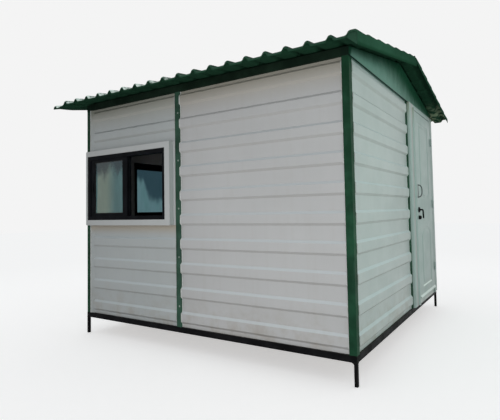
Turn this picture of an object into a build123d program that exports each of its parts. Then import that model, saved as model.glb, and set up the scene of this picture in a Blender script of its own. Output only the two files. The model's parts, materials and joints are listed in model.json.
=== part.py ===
from build123d import *
import math
import os

# Frame: X runs along the front wall, Y from front to back, Z up, with the origin on the ground
# under the middle of the plan. The front faces -Y and the door is in the +X gable wall.
# All lengths are millimetres.

# Overall sizes
cabin_length = 3050
cabin_depth = 2820
wall_height = 2170
leg_length = 168
cut_overrun = 20

# Base frame, legs and floor
base_height = 50
base_width = 80
base_wall = 3
leg_width = 25
leg_wall = 3
joist_count = 4
joist_width = 40
joist_height = 40
floor_thickness = 18

# Posts
post_width = 60
post_wall = 3
post_edge_radius = 4
middle_post_offset = 186
door_post_width = 50
door_post_distance = 1600

# Ribbed wall panels
panel_setback = 1
rib_depth = 16
rib_pitch = 223
rib_start = 31
rib_width = 110
rib_bevel = 20
plain_top_strip = 20

# Sliding window in the left bay of the front wall, and a fixed one like it in the left wall
hood_over_corner_post = 4
hood_right_margin = 23
side_hood_front_margin = 480
side_hood_back_margin = 111
side_hood_border = 44
hood_bottom = 928
hood_height = 782
hood_proud = 53
hood_edge_radius = 5
window_border_left = 24
window_border_right = 64
window_border_height = 54
window_setback = 8
window_frame_face = 38
window_frame_depth = 70
sash_stile = 64
sash_rail = 30
sash_depth = 26
track_start = 8
track_gap = 3
glass_thickness = 5

# Door frame, leaf and furniture
door_band_width = 147
door_frame_proud = 20
door_lip_width = 25
door_lip_proud = 15
door_head_height = 62
door_sill_height = 62
door_rebate = 14
door_leaf_thickness = 44
door_gap = 7
door_skin_setback = 1
emboss_depth = 6
emboss_bevel = 14
emboss_groove = 24
emboss_side_margin = 150
emboss_end_margin = 100
emboss_waist = 300
emboss_arch = 60
weather_bar_height = 26
weather_bar_proud = 12
weather_bar_edge = 6
hinge_radius = 8
hinge_half_length = 45
hinge_axial_gap = 1
hinge_stand_off = 1
hinge_tab_width = 16
hinge_tab_thickness = 4
hinge_end_distance = 260
hinge_count = 3
latch_inset = 45
lever_height = 1030
lever_length = 110
lever_droop = 68
lever_reach = 50
lever_width = 18
lever_thickness = 12
neck_radius = 8
rose_radius = 20
rose_thickness = 8
rose_sides = 12
cylinder_below_lever = 95
cylinder_radius = 11
cylinder_reach = 16
pull_above_lever = 120
pull_length = 147
pull_reach = 52
pull_bar_thickness = 12
pull_bar_width = 16
pull_bend_radius = 20

# Roof
eave_overhang = 275
rake_overhang = 150
ridge_rise = 375
eave_rise = 45
wave_count = 19
wave_height = 30
wave_half_width = 42
wave_flank_angle = 58
sheet_thickness = 2
rake_drop = 62
rake_radius = 22
ridge_gap = 5
beam_width = 50
beam_height = 50
purlin_width = 40
purlin_height = 40
ridge_cap_wing = 140
ridge_cap_thickness = 2

# Levels and edges that the pieces share
half_length = cabin_length / 2
half_depth = cabin_depth / 2
base_bottom = leg_length
base_top = base_bottom + base_height
wall_top = base_top + wall_height
inner_half_length = half_length - post_width
inner_half_depth = half_depth - post_width
post_middle_x = -middle_post_offset
bay_left_edge = -inner_half_length
bay_right_edge = post_middle_x - post_width / 2
door_post_start = -half_depth + door_post_distance
door_frame_start = door_post_start + door_post_width
door_frame_end = inner_half_depth
rib_count = int((wall_height - plain_top_strip - rib_start - rib_width) // rib_pitch) + 1


def block(low, high):
    """Box between two opposite corners."""
    size = [b - a for a, b in zip(low, high)]
    middle = [(a + b) / 2 for a, b in zip(low, high)]
    return Pos(*middle) * Box(*size)


def upright_tube(x, y, z_low, z_high, width, depth, wall, edge_radius=0):
    """Hollow rectangular tube that stands on z_low, centred on x and y."""
    outside = RectangleRounded(width, depth, edge_radius) if edge_radius else Rectangle(width, depth)
    section = outside - Rectangle(width - 2 * wall, depth - 2 * wall)
    return Pos(x, y, z_low) * extrude(section, amount=z_high - z_low)


# Base frame: four square tubes with mitred ends


def base_rail(length, angle, distance):
    """Tube of the base frame, mitred at both ends, set off from the middle and turned about Z."""
    bore = Rectangle(base_width - 2 * base_wall, base_height - 2 * base_wall)
    tube = Rectangle(base_width, base_height) - bore
    rail = extrude(Plane.YZ * tube, amount=length / 2, both=True)
    mitre = Polygon(
        (-length / 2, -base_width / 2),
        (length / 2, -base_width / 2),
        (length / 2 - base_width, base_width / 2),
        (-length / 2 + base_width, base_width / 2),
        align=None,
    )
    rail &= extrude(mitre, amount=base_height, both=True)
    return Rot(0, 0, angle) * Pos(0, -distance + base_width / 2, base_bottom + base_height / 2) * rail


def legs():
    """Four square tubes under the corners of the base frame."""
    reach_x = half_length - leg_width / 2
    reach_y = half_depth - leg_width / 2
    corners = [(sx * reach_x, sy * reach_y) for sx in (-1, 1) for sy in (-1, 1)]
    return [upright_tube(x, y, 0, base_bottom, leg_width, leg_width, leg_wall) for x, y in corners]


def floor_joists():
    """Cross members between the front and back rails, flush with the top of the base."""
    clear_half = half_length - base_width
    step = 2 * clear_half / (joist_count + 1)
    reach = half_depth - base_width
    joists = []
    for number in range(1, joist_count + 1):
        x = -clear_half + number * step
        low = (x - joist_width / 2, -reach, base_top - joist_height)
        high = (x + joist_width / 2, reach, base_top)
        joists.append(block(low, high))
    return joists


def floor_board():
    """Board on the base frame, inside the walls."""
    low = (-inner_half_length, -inner_half_depth, base_top)
    high = (inner_half_length, inner_half_depth, base_top + floor_thickness)
    return block(low, high)


# Walls: posts and insulated panels with a ribbed outer skin


def post(x, y, width=post_width):
    """Square tube from the base frame to the top of the wall; width is its size along the wall."""
    on_gable = abs(x) > inner_half_length
    size_x = post_width if on_gable else width
    size_y = width if on_gable else post_width
    return upright_tube(x, y, base_top, wall_top, size_x, size_y, post_wall, post_edge_radius)


def panel_face():
    """Section of a wall panel: depth from the inner face along x, height above the base along y."""
    crest = post_width - panel_setback
    valley = crest - rib_depth
    outline = [(0, 0), (valley, 0)]
    for number in range(rib_count):
        low = rib_start + number * rib_pitch
        high = low + rib_width
        outline += [(valley, low), (crest, low + rib_bevel), (crest, high - rib_bevel), (valley, high)]
    outline += [(valley, wall_height), (0, wall_height)]
    return Polygon(*outline, align=None)


def wall_panel(start, outward, length):
    """Ribbed panel that runs from a start point on its inner face, to the left as seen from inside."""
    along = Vector(*outward).cross(Vector(0, 0, 1))
    plane = Plane(origin=(*start, base_top), x_dir=outward, z_dir=along)
    return extrude(plane * panel_face(), amount=length)


def front_panel(low_x, high_x):
    """Panel of the front wall between two posts."""
    return wall_panel((high_x, -inner_half_depth), (0, -1, 0), high_x - low_x)


def window_band(z_low, z_high):
    """Block across the left bay that takes out, or keeps, a band of its panel."""
    low = (bay_left_edge - cut_overrun, -half_depth - cut_overrun, z_low)
    high = (bay_right_edge + cut_overrun, -inner_half_depth + cut_overrun, z_high)
    return block(low, high)


# Windows: white hood through the wall, dark frame, and sashes with their glass. Each is drawn about
# its own middle, facing -Y with the outer plane of the wall at y = 0, and then put into its wall.

hood_left_edge = bay_left_edge - hood_over_corner_post
hood_right_edge = bay_right_edge - hood_right_margin
hood_width = hood_right_edge - hood_left_edge
hood_shift = (window_border_right - window_border_left) / 2
window_x = (hood_left_edge + hood_right_edge) / 2 - hood_shift
window_z = base_top + hood_bottom + hood_height / 2
window_width = hood_width - window_border_left - window_border_right
window_height = hood_height - 2 * window_border_height
window_front = -hood_proud + window_setback
sash_opening_width = window_width - 2 * window_frame_face
sash_height = window_height - 2 * window_frame_face
sash_width = (sash_opening_width + sash_stile) / 2
sash_x = (sash_width - sash_opening_width) / 2
outer_track = window_front + track_start
inner_track = outer_track + sash_depth + track_gap
side_hood_start = -inner_half_depth + side_hood_front_margin
side_hood_end = -post_width / 2 - side_hood_back_margin
side_hood_width = side_hood_end - side_hood_start
side_window_y = (side_hood_start + side_hood_end) / 2
side_window_width = side_hood_width - 2 * side_hood_border
side_sash_width = side_window_width - 2 * window_frame_face
in_front_wall = Pos(window_x, -half_depth, window_z)
in_left_wall = Pos(-half_length, side_window_y, window_z) * Rot(0, 0, -90)


def ring(outer_width, outer_height, border_x, border_z, front, back):
    """Rectangular ring about the middle of a window, from its front to its back."""
    outer = Rectangle(outer_width, outer_height)
    section = outer - Rectangle(outer_width - 2 * border_x, outer_height - 2 * border_z)
    plane = Plane(origin=(0, front, 0), x_dir=(1, 0, 0), z_dir=(0, -1, 0))
    return extrude(plane * section, amount=front - back)


def hood(width, opening_width, shift):
    """Part of a surround that stands out of the wall; shift is how far its middle is from the window's."""
    outer = Pos(shift, 0) * RectangleRounded(width, hood_height, hood_edge_radius)
    section = outer - Rectangle(opening_width, window_height)
    plane = Plane(origin=(0, 0, 0), x_dir=(1, 0, 0), z_dir=(0, -1, 0))
    return extrude(plane * section, amount=hood_proud)


def window_surround():
    """Hood of the sliding window, with the lining that fills its bay between the posts."""
    bay = block(
        (bay_left_edge - window_x, 0, -hood_height / 2),
        (bay_right_edge - window_x, post_width, hood_height / 2),
    )
    opening = block(
        (-window_width / 2, -cut_overrun, -window_height / 2),
        (window_width / 2, post_width + cut_overrun, window_height / 2),
    )
    return in_front_wall * (bay - opening + hood(hood_width, window_width, hood_shift))


def side_window_surround():
    """Hood of the fixed window, with the lining that goes through the left wall."""
    lining = ring(side_hood_width, hood_height, side_hood_border, window_border_height, 0, post_width)
    return in_left_wall * (lining + hood(side_hood_width, side_window_width, 0))


def outer_frame(width):
    """Outer frame of a window."""
    back = window_front + window_frame_depth
    return ring(width, window_height, window_frame_face, window_frame_face, window_front, back)


def sash(width, track):
    """Sash whose front is in a track."""
    return ring(width, sash_height, sash_stile, sash_rail, track, track + sash_depth)


def side_window_frame():
    """Frame of the fixed window, with its sash built in."""
    return in_left_wall * (outer_frame(side_window_width) + sash(side_sash_width, outer_track))


def sliding_sash(track):
    """Sash of the sliding window: both stand at its left end, the inner one slid open behind the outer."""
    return in_front_wall * Pos(sash_x, 0, 0) * sash(sash_width, track)


def pane(width, track):
    """Glass that fills a sash."""
    half_width = width / 2 - sash_stile
    half_height = sash_height / 2 - sash_rail
    front = track + (sash_depth - glass_thickness) / 2
    return block((-half_width, front, -half_height), (half_width, front + glass_thickness, half_height))


def window_panes():
    """Glass of the two sliding sashes and of the fixed window."""
    tracks = (outer_track, inner_track)
    sliding = [in_front_wall * Pos(sash_x, 0, 0) * pane(sash_width, track) for track in tracks]
    return sliding + [in_left_wall * pane(side_sash_width, outer_track)]


def left_front_panel():
    """Panel of the left wall's front bay, with the hole for its window."""
    panel = wall_panel((-inner_half_length, -inner_half_depth), (-1, 0, 0), inner_half_depth - post_width / 2)
    hole = block(
        (-side_hood_width / 2, -cut_overrun, -hood_height / 2),
        (side_hood_width / 2, post_width + cut_overrun, hood_height / 2),
    )
    return panel - in_left_wall * hole


# Door: rebated frame with a raised lip, embossed leaf, weld-on hinges, pull and lever lock

band_face = half_length + door_frame_proud
lip_face = band_face + door_lip_proud
leaf_outer_face = lip_face - door_skin_setback
leaf_inner_face = leaf_outer_face - door_leaf_thickness
rebate_floor = leaf_inner_face - door_gap
jamb_width = door_band_width + door_lip_width
doorway_start = door_frame_start + jamb_width
doorway_end = door_frame_end - jamb_width
doorway_low = base_top + door_sill_height
doorway_high = wall_top - door_head_height
leaf_start = doorway_start + door_gap
leaf_end = doorway_end - door_gap
leaf_low = doorway_low + door_gap
leaf_high = doorway_high - door_gap
leaf_middle = (leaf_start + leaf_end) / 2
hinge_x = leaf_outer_face + hinge_radius + hinge_stand_off
hinge_y = leaf_end + door_gap / 2
latch_y = leaf_start + latch_inset
lever_z = base_top + lever_height
cylinder_z = lever_z - cylinder_below_lever


def jamb_section(edge, side):
    """Rebated section of a jamb in plan: edge is its outer end and side points into the doorway."""
    face = edge + side * jamb_width
    stop = face + side * door_rebate
    outline = [
        (inner_half_length, edge),
        (band_face, edge),
        (band_face, face),
        (rebate_floor, face),
        (rebate_floor, stop),
        (inner_half_length, stop),
    ]
    return Polygon(*outline, align=None)


def door_jamb(edge, side):
    """Upright of the door frame, over the whole height of the wall."""
    section = Pos(0, 0, base_top) * jamb_section(edge, side)
    return extrude(section, amount=wall_height, dir=(0, 0, 1))


def door_head():
    """Rebated member over the leaf, between the jambs."""
    face = block((rebate_floor, doorway_start, doorway_high), (band_face, doorway_end, wall_top))
    stop = block(
        (inner_half_length, doorway_start + door_rebate, doorway_high - door_rebate),
        (rebate_floor, doorway_end - door_rebate, wall_top),
    )
    return face + stop


def door_sill():
    """Threshold under the leaf."""
    outer = block((rebate_floor, doorway_start, base_top), (band_face, doorway_end, doorway_low))
    inner = block(
        (inner_half_length, doorway_start + door_rebate, base_top),
        (rebate_floor, doorway_end - door_rebate, doorway_low),
    )
    return outer + inner


def door_lip():
    """Raised bars on the frame, along both sides and the top of the leaf."""
    high = doorway_high + door_lip_width
    sides = [(doorway_start - door_lip_width, doorway_start), (doorway_end, doorway_end + door_lip_width)]
    bars = [block((band_face, low_y, base_top), (lip_face, high_y, high)) for low_y, high_y in sides]
    bars.append(block((band_face, doorway_start, doorway_high), (lip_face, doorway_end, high)))
    return bars


def emboss_outline(low, high, inset, depth, side):
    """Outline of a pressed panel, inset on all sides and sunk by depth; side 1 arches its top, -1 its foot."""
    half = (leaf_end - leaf_start) / 2 - emboss_side_margin - inset
    straight, arched = (low + inset, high - inset) if side > 0 else (high - inset, low + inset)
    shoulder = arched - side * emboss_arch
    edges = [
        Line((half, shoulder), (half, straight)),
        Line((half, straight), (-half, straight)),
        Line((-half, straight), (-half, shoulder)),
        ThreePointArc((-half, shoulder), (0, arched), (half, shoulder)),
    ]
    place = Plane(origin=(leaf_outer_face - depth, leaf_middle, 0), x_dir=(0, 1, 0), z_dir=(1, 0, 0))
    return (place * make_face(edges)).face()


def door_leaf():
    """Leaf with two pressed panels, each a sunk groove round a raised field, arched towards the lock."""
    leaf = block((leaf_inner_face, leaf_start, leaf_low), (leaf_outer_face, leaf_end, leaf_high))
    waist = (lever_z + cylinder_z) / 2
    rows = [
        (leaf_low + emboss_end_margin, waist - emboss_waist / 2, 1),
        (waist + emboss_waist / 2, leaf_high - emboss_end_margin, -1),
    ]
    field_foot = emboss_bevel + emboss_groove
    field_top = field_foot + emboss_bevel
    for low, high, side in rows:
        mouth = emboss_outline(low, high, 0, 0, side)
        bed = emboss_outline(low, high, emboss_bevel, emboss_depth, side)
        foot = emboss_outline(low, high, field_foot, emboss_depth, side)
        top = emboss_outline(low, high, field_top, 0, side)
        leaf -= loft([mouth, bed], ruled=True)
        leaf += loft([foot, top], ruled=True)
    return leaf


def door_weather_bar():
    """Bevelled bar across the foot of the leaf."""
    outer = leaf_outer_face + weather_bar_proud
    high = leaf_low + weather_bar_height
    outline = [
        (leaf_outer_face, leaf_low),
        (outer, leaf_low),
        (outer, leaf_low + weather_bar_edge),
        (leaf_outer_face, high),
    ]
    plane = Plane(origin=(0, leaf_start, 0), x_dir=(1, 0, 0), z_dir=(0, -1, 0))
    return extrude(plane * Polygon(*outline, align=None), amount=leaf_end - leaf_start, dir=(0, 1, 0))


def hinge_heights():
    """Height of the joint between the two halves of each hinge."""
    low = leaf_low + hinge_end_distance
    high = leaf_high - hinge_end_distance
    return [low + (high - low) * number / (hinge_count - 1) for number in range(hinge_count)]


def hinge_half(z_low, seat_x, tab_edge, side):
    """One half of a weld-on hinge: a barrel with a tab that lies on the frame or on the leaf."""
    barrel = Pos(hinge_x, hinge_y, z_low) * extrude(Circle(hinge_radius), amount=hinge_half_length)
    edges = sorted((tab_edge, tab_edge + side * hinge_tab_width))
    tab = block(
        (seat_x, edges[0], z_low), (seat_x + hinge_tab_thickness, edges[1], z_low + hinge_half_length)
    )
    web_edges = sorted((hinge_y, tab_edge + side * hinge_radius))
    web = block(
        (hinge_x - hinge_tab_thickness, web_edges[0], z_low),
        (hinge_x, web_edges[1], z_low + hinge_half_length),
    )
    return barrel + tab + web


def frame_hinge_halves():
    """Lower halves, on the lip of the frame."""
    lows = [height - hinge_half_length for height in hinge_heights()]
    return [hinge_half(low, lip_face, doorway_end, 1) for low in lows]


def leaf_hinge_halves():
    """Upper halves, on the leaf."""
    lows = [height + hinge_axial_gap for height in hinge_heights()]
    return [hinge_half(low, leaf_outer_face, leaf_end, -1) for low in lows]


def door_pull():
    """Flat bar bent to a D, with its two ends on the leaf."""
    low = lever_z + pull_above_lever
    plane = Plane(origin=(leaf_outer_face, latch_y, low), x_dir=(1, 0, 0), z_dir=(0, -1, 0))
    inner_reach = pull_reach - pull_bar_thickness
    inner_length = pull_length - 2 * pull_bar_thickness
    outside = plane * Pos(pull_reach / 2, pull_length / 2) * Rectangle(pull_reach, pull_length)
    bar = extrude(outside, amount=pull_bar_width / 2, both=True)
    bar = fillet(bar.edges().filter_by(Axis.Y).group_by(Axis.X)[-1], pull_bend_radius)
    inside = plane * Pos(inner_reach / 2, pull_length / 2) * Rectangle(inner_reach, inner_length)
    gap = extrude(inside, amount=pull_bar_width, both=True)
    gap = fillet(gap.edges().filter_by(Axis.Y).group_by(Axis.X)[-1], pull_bend_radius - pull_bar_thickness)
    return bar - gap


def turned(plane, radius, length):
    """Round bar or disc with a few flats, from a plane outwards."""
    return extrude(plane * RegularPolygon(radius, rose_sides), amount=length)


def lever_set(face_x, outward):
    """Rose, neck and worn lever on one side of the leaf; the lever droops towards the hinges."""
    toward = Plane(origin=(face_x, latch_y, lever_z), x_dir=(0, outward, 0), z_dir=(outward, 0, 0))
    grip = Rectangle(lever_length, lever_width)
    grip = chamfer(grip.vertices(), lever_width / 4)
    middle = outward * (lever_length - lever_width) / 2
    grip_start = toward.offset(lever_reach - lever_thickness)
    droop = Rot(0, 0, -outward * lever_droop)
    lever = extrude(grip_start * droop * Pos(middle, 0) * grip, amount=lever_thickness)
    return lever + turned(toward, rose_radius, rose_thickness) + turned(toward, neck_radius, lever_reach)


def lock_cylinder(face_x, outward):
    """Rose and end of the lock cylinder below the lever."""
    toward = Plane(origin=(face_x, latch_y, cylinder_z), x_dir=(0, 1, 0), z_dir=(outward, 0, 0))
    return turned(toward, rose_radius, rose_thickness) + turned(toward, cylinder_radius, cylinder_reach)


def door_lever_lock():
    """Levers and lock cylinder ends on both sides of the leaf."""
    sides = [(leaf_outer_face, 1), (leaf_inner_face, -1)]
    return [make(face, outward) for make in (lever_set, lock_cylinder) for face, outward in sides]


# Roof: gable panels and beams under two corrugated sheets and a ridge cap

roof_half_span = half_depth + eave_overhang
roof_pitch = (ridge_rise - eave_rise) / roof_half_span
ridge_crest = wall_top + ridge_rise
pan_at_ridge = ridge_crest - wave_height
crest_half_length = half_length + rake_overhang
wave_pitch = 2 * crest_half_length / wave_count


def under_sheet(y):
    """Height of the underside of the sheet's flats at a distance y from the ridge line."""
    return pan_at_ridge - sheet_thickness - roof_pitch * abs(y)


def along_x(outline, x_low, x_high):
    """Solid of a Y-Z outline between two x values."""
    plane = Plane(origin=(x_low, 0, 0), x_dir=(0, 1, 0), z_dir=(1, 0, 0))
    return extrude(plane * Polygon(*outline, align=None), amount=x_high - x_low, dir=(1, 0, 0))


def gable_panel(x_low):
    """Pentagon that closes the gable between the wall and the roof."""
    outline = [
        (-half_depth, wall_top),
        (half_depth, wall_top),
        (half_depth, under_sheet(half_depth)),
        (0, under_sheet(0)),
        (-half_depth, under_sheet(half_depth)),
    ]
    return along_x(outline, x_low, x_low + post_width)


def eave_beam(side):
    """Beam on top of a long wall, with its top cut to the roof's slope."""
    outer = side * half_depth
    inner = side * inner_half_depth
    outline = [(outer, wall_top), (outer, under_sheet(outer)), (inner, under_sheet(inner)), (inner, wall_top)]
    return along_x(outline, -inner_half_length, inner_half_length)


def ridge_beam():
    """Beam under the meeting line of the two sheets."""
    half = beam_width / 2
    low = under_sheet(half) - beam_height
    outline = [(-half, low), (half, low), (half, under_sheet(half)), (0, under_sheet(0)), (-half, under_sheet(half))]
    return along_x(outline, -inner_half_length, inner_half_length)


def purlin(side):
    """Bar under the middle of a roof slope."""
    ends = [side * (half_depth - offset) / 2 for offset in (-purlin_width, purlin_width)]
    outline = [(y, under_sheet(y)) for y in ends] + [(y, under_sheet(y) - purlin_height) for y in reversed(ends)]
    return along_x(outline, -inner_half_length, inner_half_length)


def wave_side(crest_x, side, drop):
    """Arc, straight flank and arc from a crest down to the flat beside it, lowered by drop."""
    angle = math.radians(wave_flank_angle)
    radius = (wave_half_width * math.tan(angle) - wave_height) / (2 / math.cos(angle) - 2)

    def down(turn):
        return radius * math.sin(turn), radius * (1 - math.cos(turn))

    bend, end = down(angle / 2), down(angle)
    top = (crest_x, wave_height - drop)
    crest_bend = (crest_x + side * bend[0], wave_height - bend[1] - drop)
    flank_top = (crest_x + side * end[0], wave_height - end[1] - drop)
    flank_foot = (crest_x + side * (wave_half_width - end[0]), end[1] - drop)
    foot_bend = (crest_x + side * (wave_half_width - bend[0]), bend[1] - drop)
    foot = (crest_x + side * wave_half_width, -drop)
    edges = [
        ThreePointArc(top, crest_bend, flank_top),
        Line(flank_top, flank_foot),
        ThreePointArc(flank_foot, foot_bend, foot),
    ]
    return edges, foot


def wave_line(drop):
    """Waves from the first crest to the last, lowered by drop."""
    edges = []
    for number in range(wave_count):
        crest = -crest_half_length + number * wave_pitch
        down, foot = wave_side(crest, 1, drop)
        up, next_foot = wave_side(crest + wave_pitch, -1, drop)
        edges += down + [Line(foot, next_foot)] + up
    return edges


def rake_fold(side):
    """Turned-down edge of the sheet beyond its outermost crest."""
    centre = (side * crest_half_length, wave_height - rake_radius)
    edges = []
    for radius in (rake_radius, rake_radius - sheet_thickness):
        diagonal = radius * math.sqrt(1 / 2)
        top = (centre[0], centre[1] + radius)
        bend = (centre[0] + side * diagonal, centre[1] + diagonal)
        out = (centre[0] + side * radius, centre[1])
        foot = (out[0], wave_height - rake_drop)
        edges += [ThreePointArc(top, bend, out), Line(out, foot)]
    edges.append(Line(edges[1] @ 1, edges[3] @ 1))
    return edges


def roof_sheet(side):
    """Corrugated sheet of one slope, from the ridge gap down to the eave."""
    edges = wave_line(0) + wave_line(sheet_thickness) + rake_fold(-1) + rake_fold(1)
    section = make_face(edges)
    start = Plane(origin=(0, side * ridge_gap, pan_at_ridge - roof_pitch * ridge_gap), x_dir=(1, 0, 0), z_dir=(0, -1, 0))
    run = roof_half_span - ridge_gap
    downhill = Vector(0, side * run, -roof_pitch * run)
    return extrude(start * section, amount=downhill.length, dir=downhill)


def ridge_cap():
    """Folded cap that lies on the crests on both sides of the ridge."""
    wing_low = ridge_crest - roof_pitch * ridge_cap_wing
    outline = [
        (-ridge_cap_wing, wing_low),
        (0, ridge_crest),
        (ridge_cap_wing, wing_low),
        (ridge_cap_wing, wing_low + ridge_cap_thickness),
        (0, ridge_crest + ridge_cap_thickness),
        (-ridge_cap_wing, wing_low + ridge_cap_thickness),
    ]
    reach = crest_half_length
    return along_x(outline, -reach, reach)


# Pieces by node name
front_left_panel = front_panel(bay_left_edge, bay_right_edge)
corner_x = half_length - post_width / 2
corner_y = half_depth - post_width / 2
back_post_left_x = post_middle_x - post_width / 2
back_post_right_x = post_middle_x + post_width / 2

pieces = {
    "base_long_rails": [base_rail(cabin_length, angle, half_depth) for angle in (0, 180)],
    "base_cross_rails": [base_rail(cabin_depth, angle, half_length) for angle in (90, 270)],
    "legs": legs(),
    "floor_joists": floor_joists(),
    "floor_board": floor_board(),
    "front_left_post": post(-corner_x, -corner_y),
    "front_right_post": post(corner_x, -corner_y),
    "back_left_post": post(-corner_x, corner_y),
    "back_right_post": post(corner_x, corner_y),
    "front_middle_post": post(post_middle_x, -corner_y),
    "back_middle_post": post(post_middle_x, corner_y),
    "left_middle_post": post(-corner_x, 0),
    "door_post": post(corner_x, door_post_start + door_post_width / 2, door_post_width),
    "front_panel_right": front_panel(post_middle_x + post_width / 2, inner_half_length),
    "front_panel_below_window": front_left_panel & window_band(base_top, base_top + hood_bottom),
    "front_panel_above_window": front_left_panel & window_band(base_top + hood_bottom + hood_height, wall_top),
    "back_panel_left": wall_panel(
        (-inner_half_length, inner_half_depth), (0, 1, 0), back_post_left_x + inner_half_length
    ),
    "back_panel_right": wall_panel(
        (back_post_right_x, inner_half_depth), (0, 1, 0), inner_half_length - back_post_right_x
    ),
    "left_panel_front": left_front_panel(),
    "left_panel_back": wall_panel(
        (-inner_half_length, post_width / 2), (-1, 0, 0), inner_half_depth - post_width / 2
    ),
    "right_panel": wall_panel(
        (inner_half_length, door_post_start), (1, 0, 0), door_post_start + inner_half_depth
    ),
    "window_surround": window_surround(),
    "window_frame": in_front_wall * outer_frame(window_width),
    "window_sash_outer": sliding_sash(outer_track),
    "window_sash_inner": sliding_sash(inner_track),
    "side_window_surround": side_window_surround(),
    "side_window_frame": side_window_frame(),
    "window_panes": window_panes(),
    "door_jamb_latch_side": door_jamb(door_frame_start, 1),
    "door_jamb_hinge_side": door_jamb(door_frame_end, -1),
    "door_head": door_head(),
    "door_sill": door_sill(),
    "door_lip": door_lip(),
    "door_leaf": door_leaf(),
    "door_weather_bar": door_weather_bar(),
    "door_hinges_on_frame": frame_hinge_halves(),
    "door_hinges_on_leaf": leaf_hinge_halves(),
    "door_pull": door_pull(),
    "door_lever_lock": door_lever_lock(),
    "left_gable_panel": gable_panel(-half_length),
    "right_gable_panel": gable_panel(inner_half_length),
    "roof_beams": [eave_beam(-1), eave_beam(1), ridge_beam(), purlin(-1), purlin(1)],
    "front_roof_sheet": roof_sheet(-1),
    "back_roof_sheet": roof_sheet(1),
    "ridge_cap": ridge_cap(),
}

os.makedirs("parts", exist_ok=True)
for name, shape in pieces.items():
    solid = Compound(children=shape) if isinstance(shape, list) else shape
    export_step(solid, f"parts/{name}.step")
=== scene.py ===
"""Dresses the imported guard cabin: finishes, tile roof, trims, window and door fittings, light and camera."""

import json
import logging
import math
import random
from collections.abc import Sequence
from dataclasses import dataclass
from enum import Enum
from itertools import product

import bmesh
import bpy
from mathutils import Matrix, Vector


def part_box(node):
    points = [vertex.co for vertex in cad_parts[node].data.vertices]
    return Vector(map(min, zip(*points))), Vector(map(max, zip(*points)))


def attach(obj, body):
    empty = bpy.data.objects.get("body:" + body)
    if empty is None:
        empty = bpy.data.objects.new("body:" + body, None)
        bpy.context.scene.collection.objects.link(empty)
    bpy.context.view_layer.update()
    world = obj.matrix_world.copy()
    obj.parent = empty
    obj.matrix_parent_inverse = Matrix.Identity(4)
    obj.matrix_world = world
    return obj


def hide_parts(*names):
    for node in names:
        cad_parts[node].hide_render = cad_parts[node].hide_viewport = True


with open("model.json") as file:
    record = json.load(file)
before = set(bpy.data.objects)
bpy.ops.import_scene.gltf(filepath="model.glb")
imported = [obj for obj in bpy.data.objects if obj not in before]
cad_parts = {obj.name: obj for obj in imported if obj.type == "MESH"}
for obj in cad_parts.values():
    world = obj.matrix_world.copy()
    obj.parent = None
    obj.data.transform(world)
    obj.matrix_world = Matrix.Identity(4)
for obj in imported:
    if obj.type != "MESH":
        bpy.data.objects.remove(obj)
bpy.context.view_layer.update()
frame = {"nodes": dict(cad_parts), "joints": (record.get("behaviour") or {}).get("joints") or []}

log = logging.getLogger("cabin")

Colour = tuple[float, float, float]
Point = tuple[float, float, float]
Pair = tuple[float, float]
Socket = bpy.types.NodeSocket

EVEN: Point = (1, 1, 1)
BRUSHED: Point = (1, 1, 0.25)


class Body(Enum):
    """Bodies that a piece can ride on."""

    CABIN = "cabin"
    DOOR = "door"


def toned(colour: Colour, tint: Colour | float) -> Colour:
    """Colour times a tint or a factor."""
    factors = tint if isinstance(tint, tuple) else (tint,) * len(colour)
    return tuple(a * b for a, b in zip(colour, factors))


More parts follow.
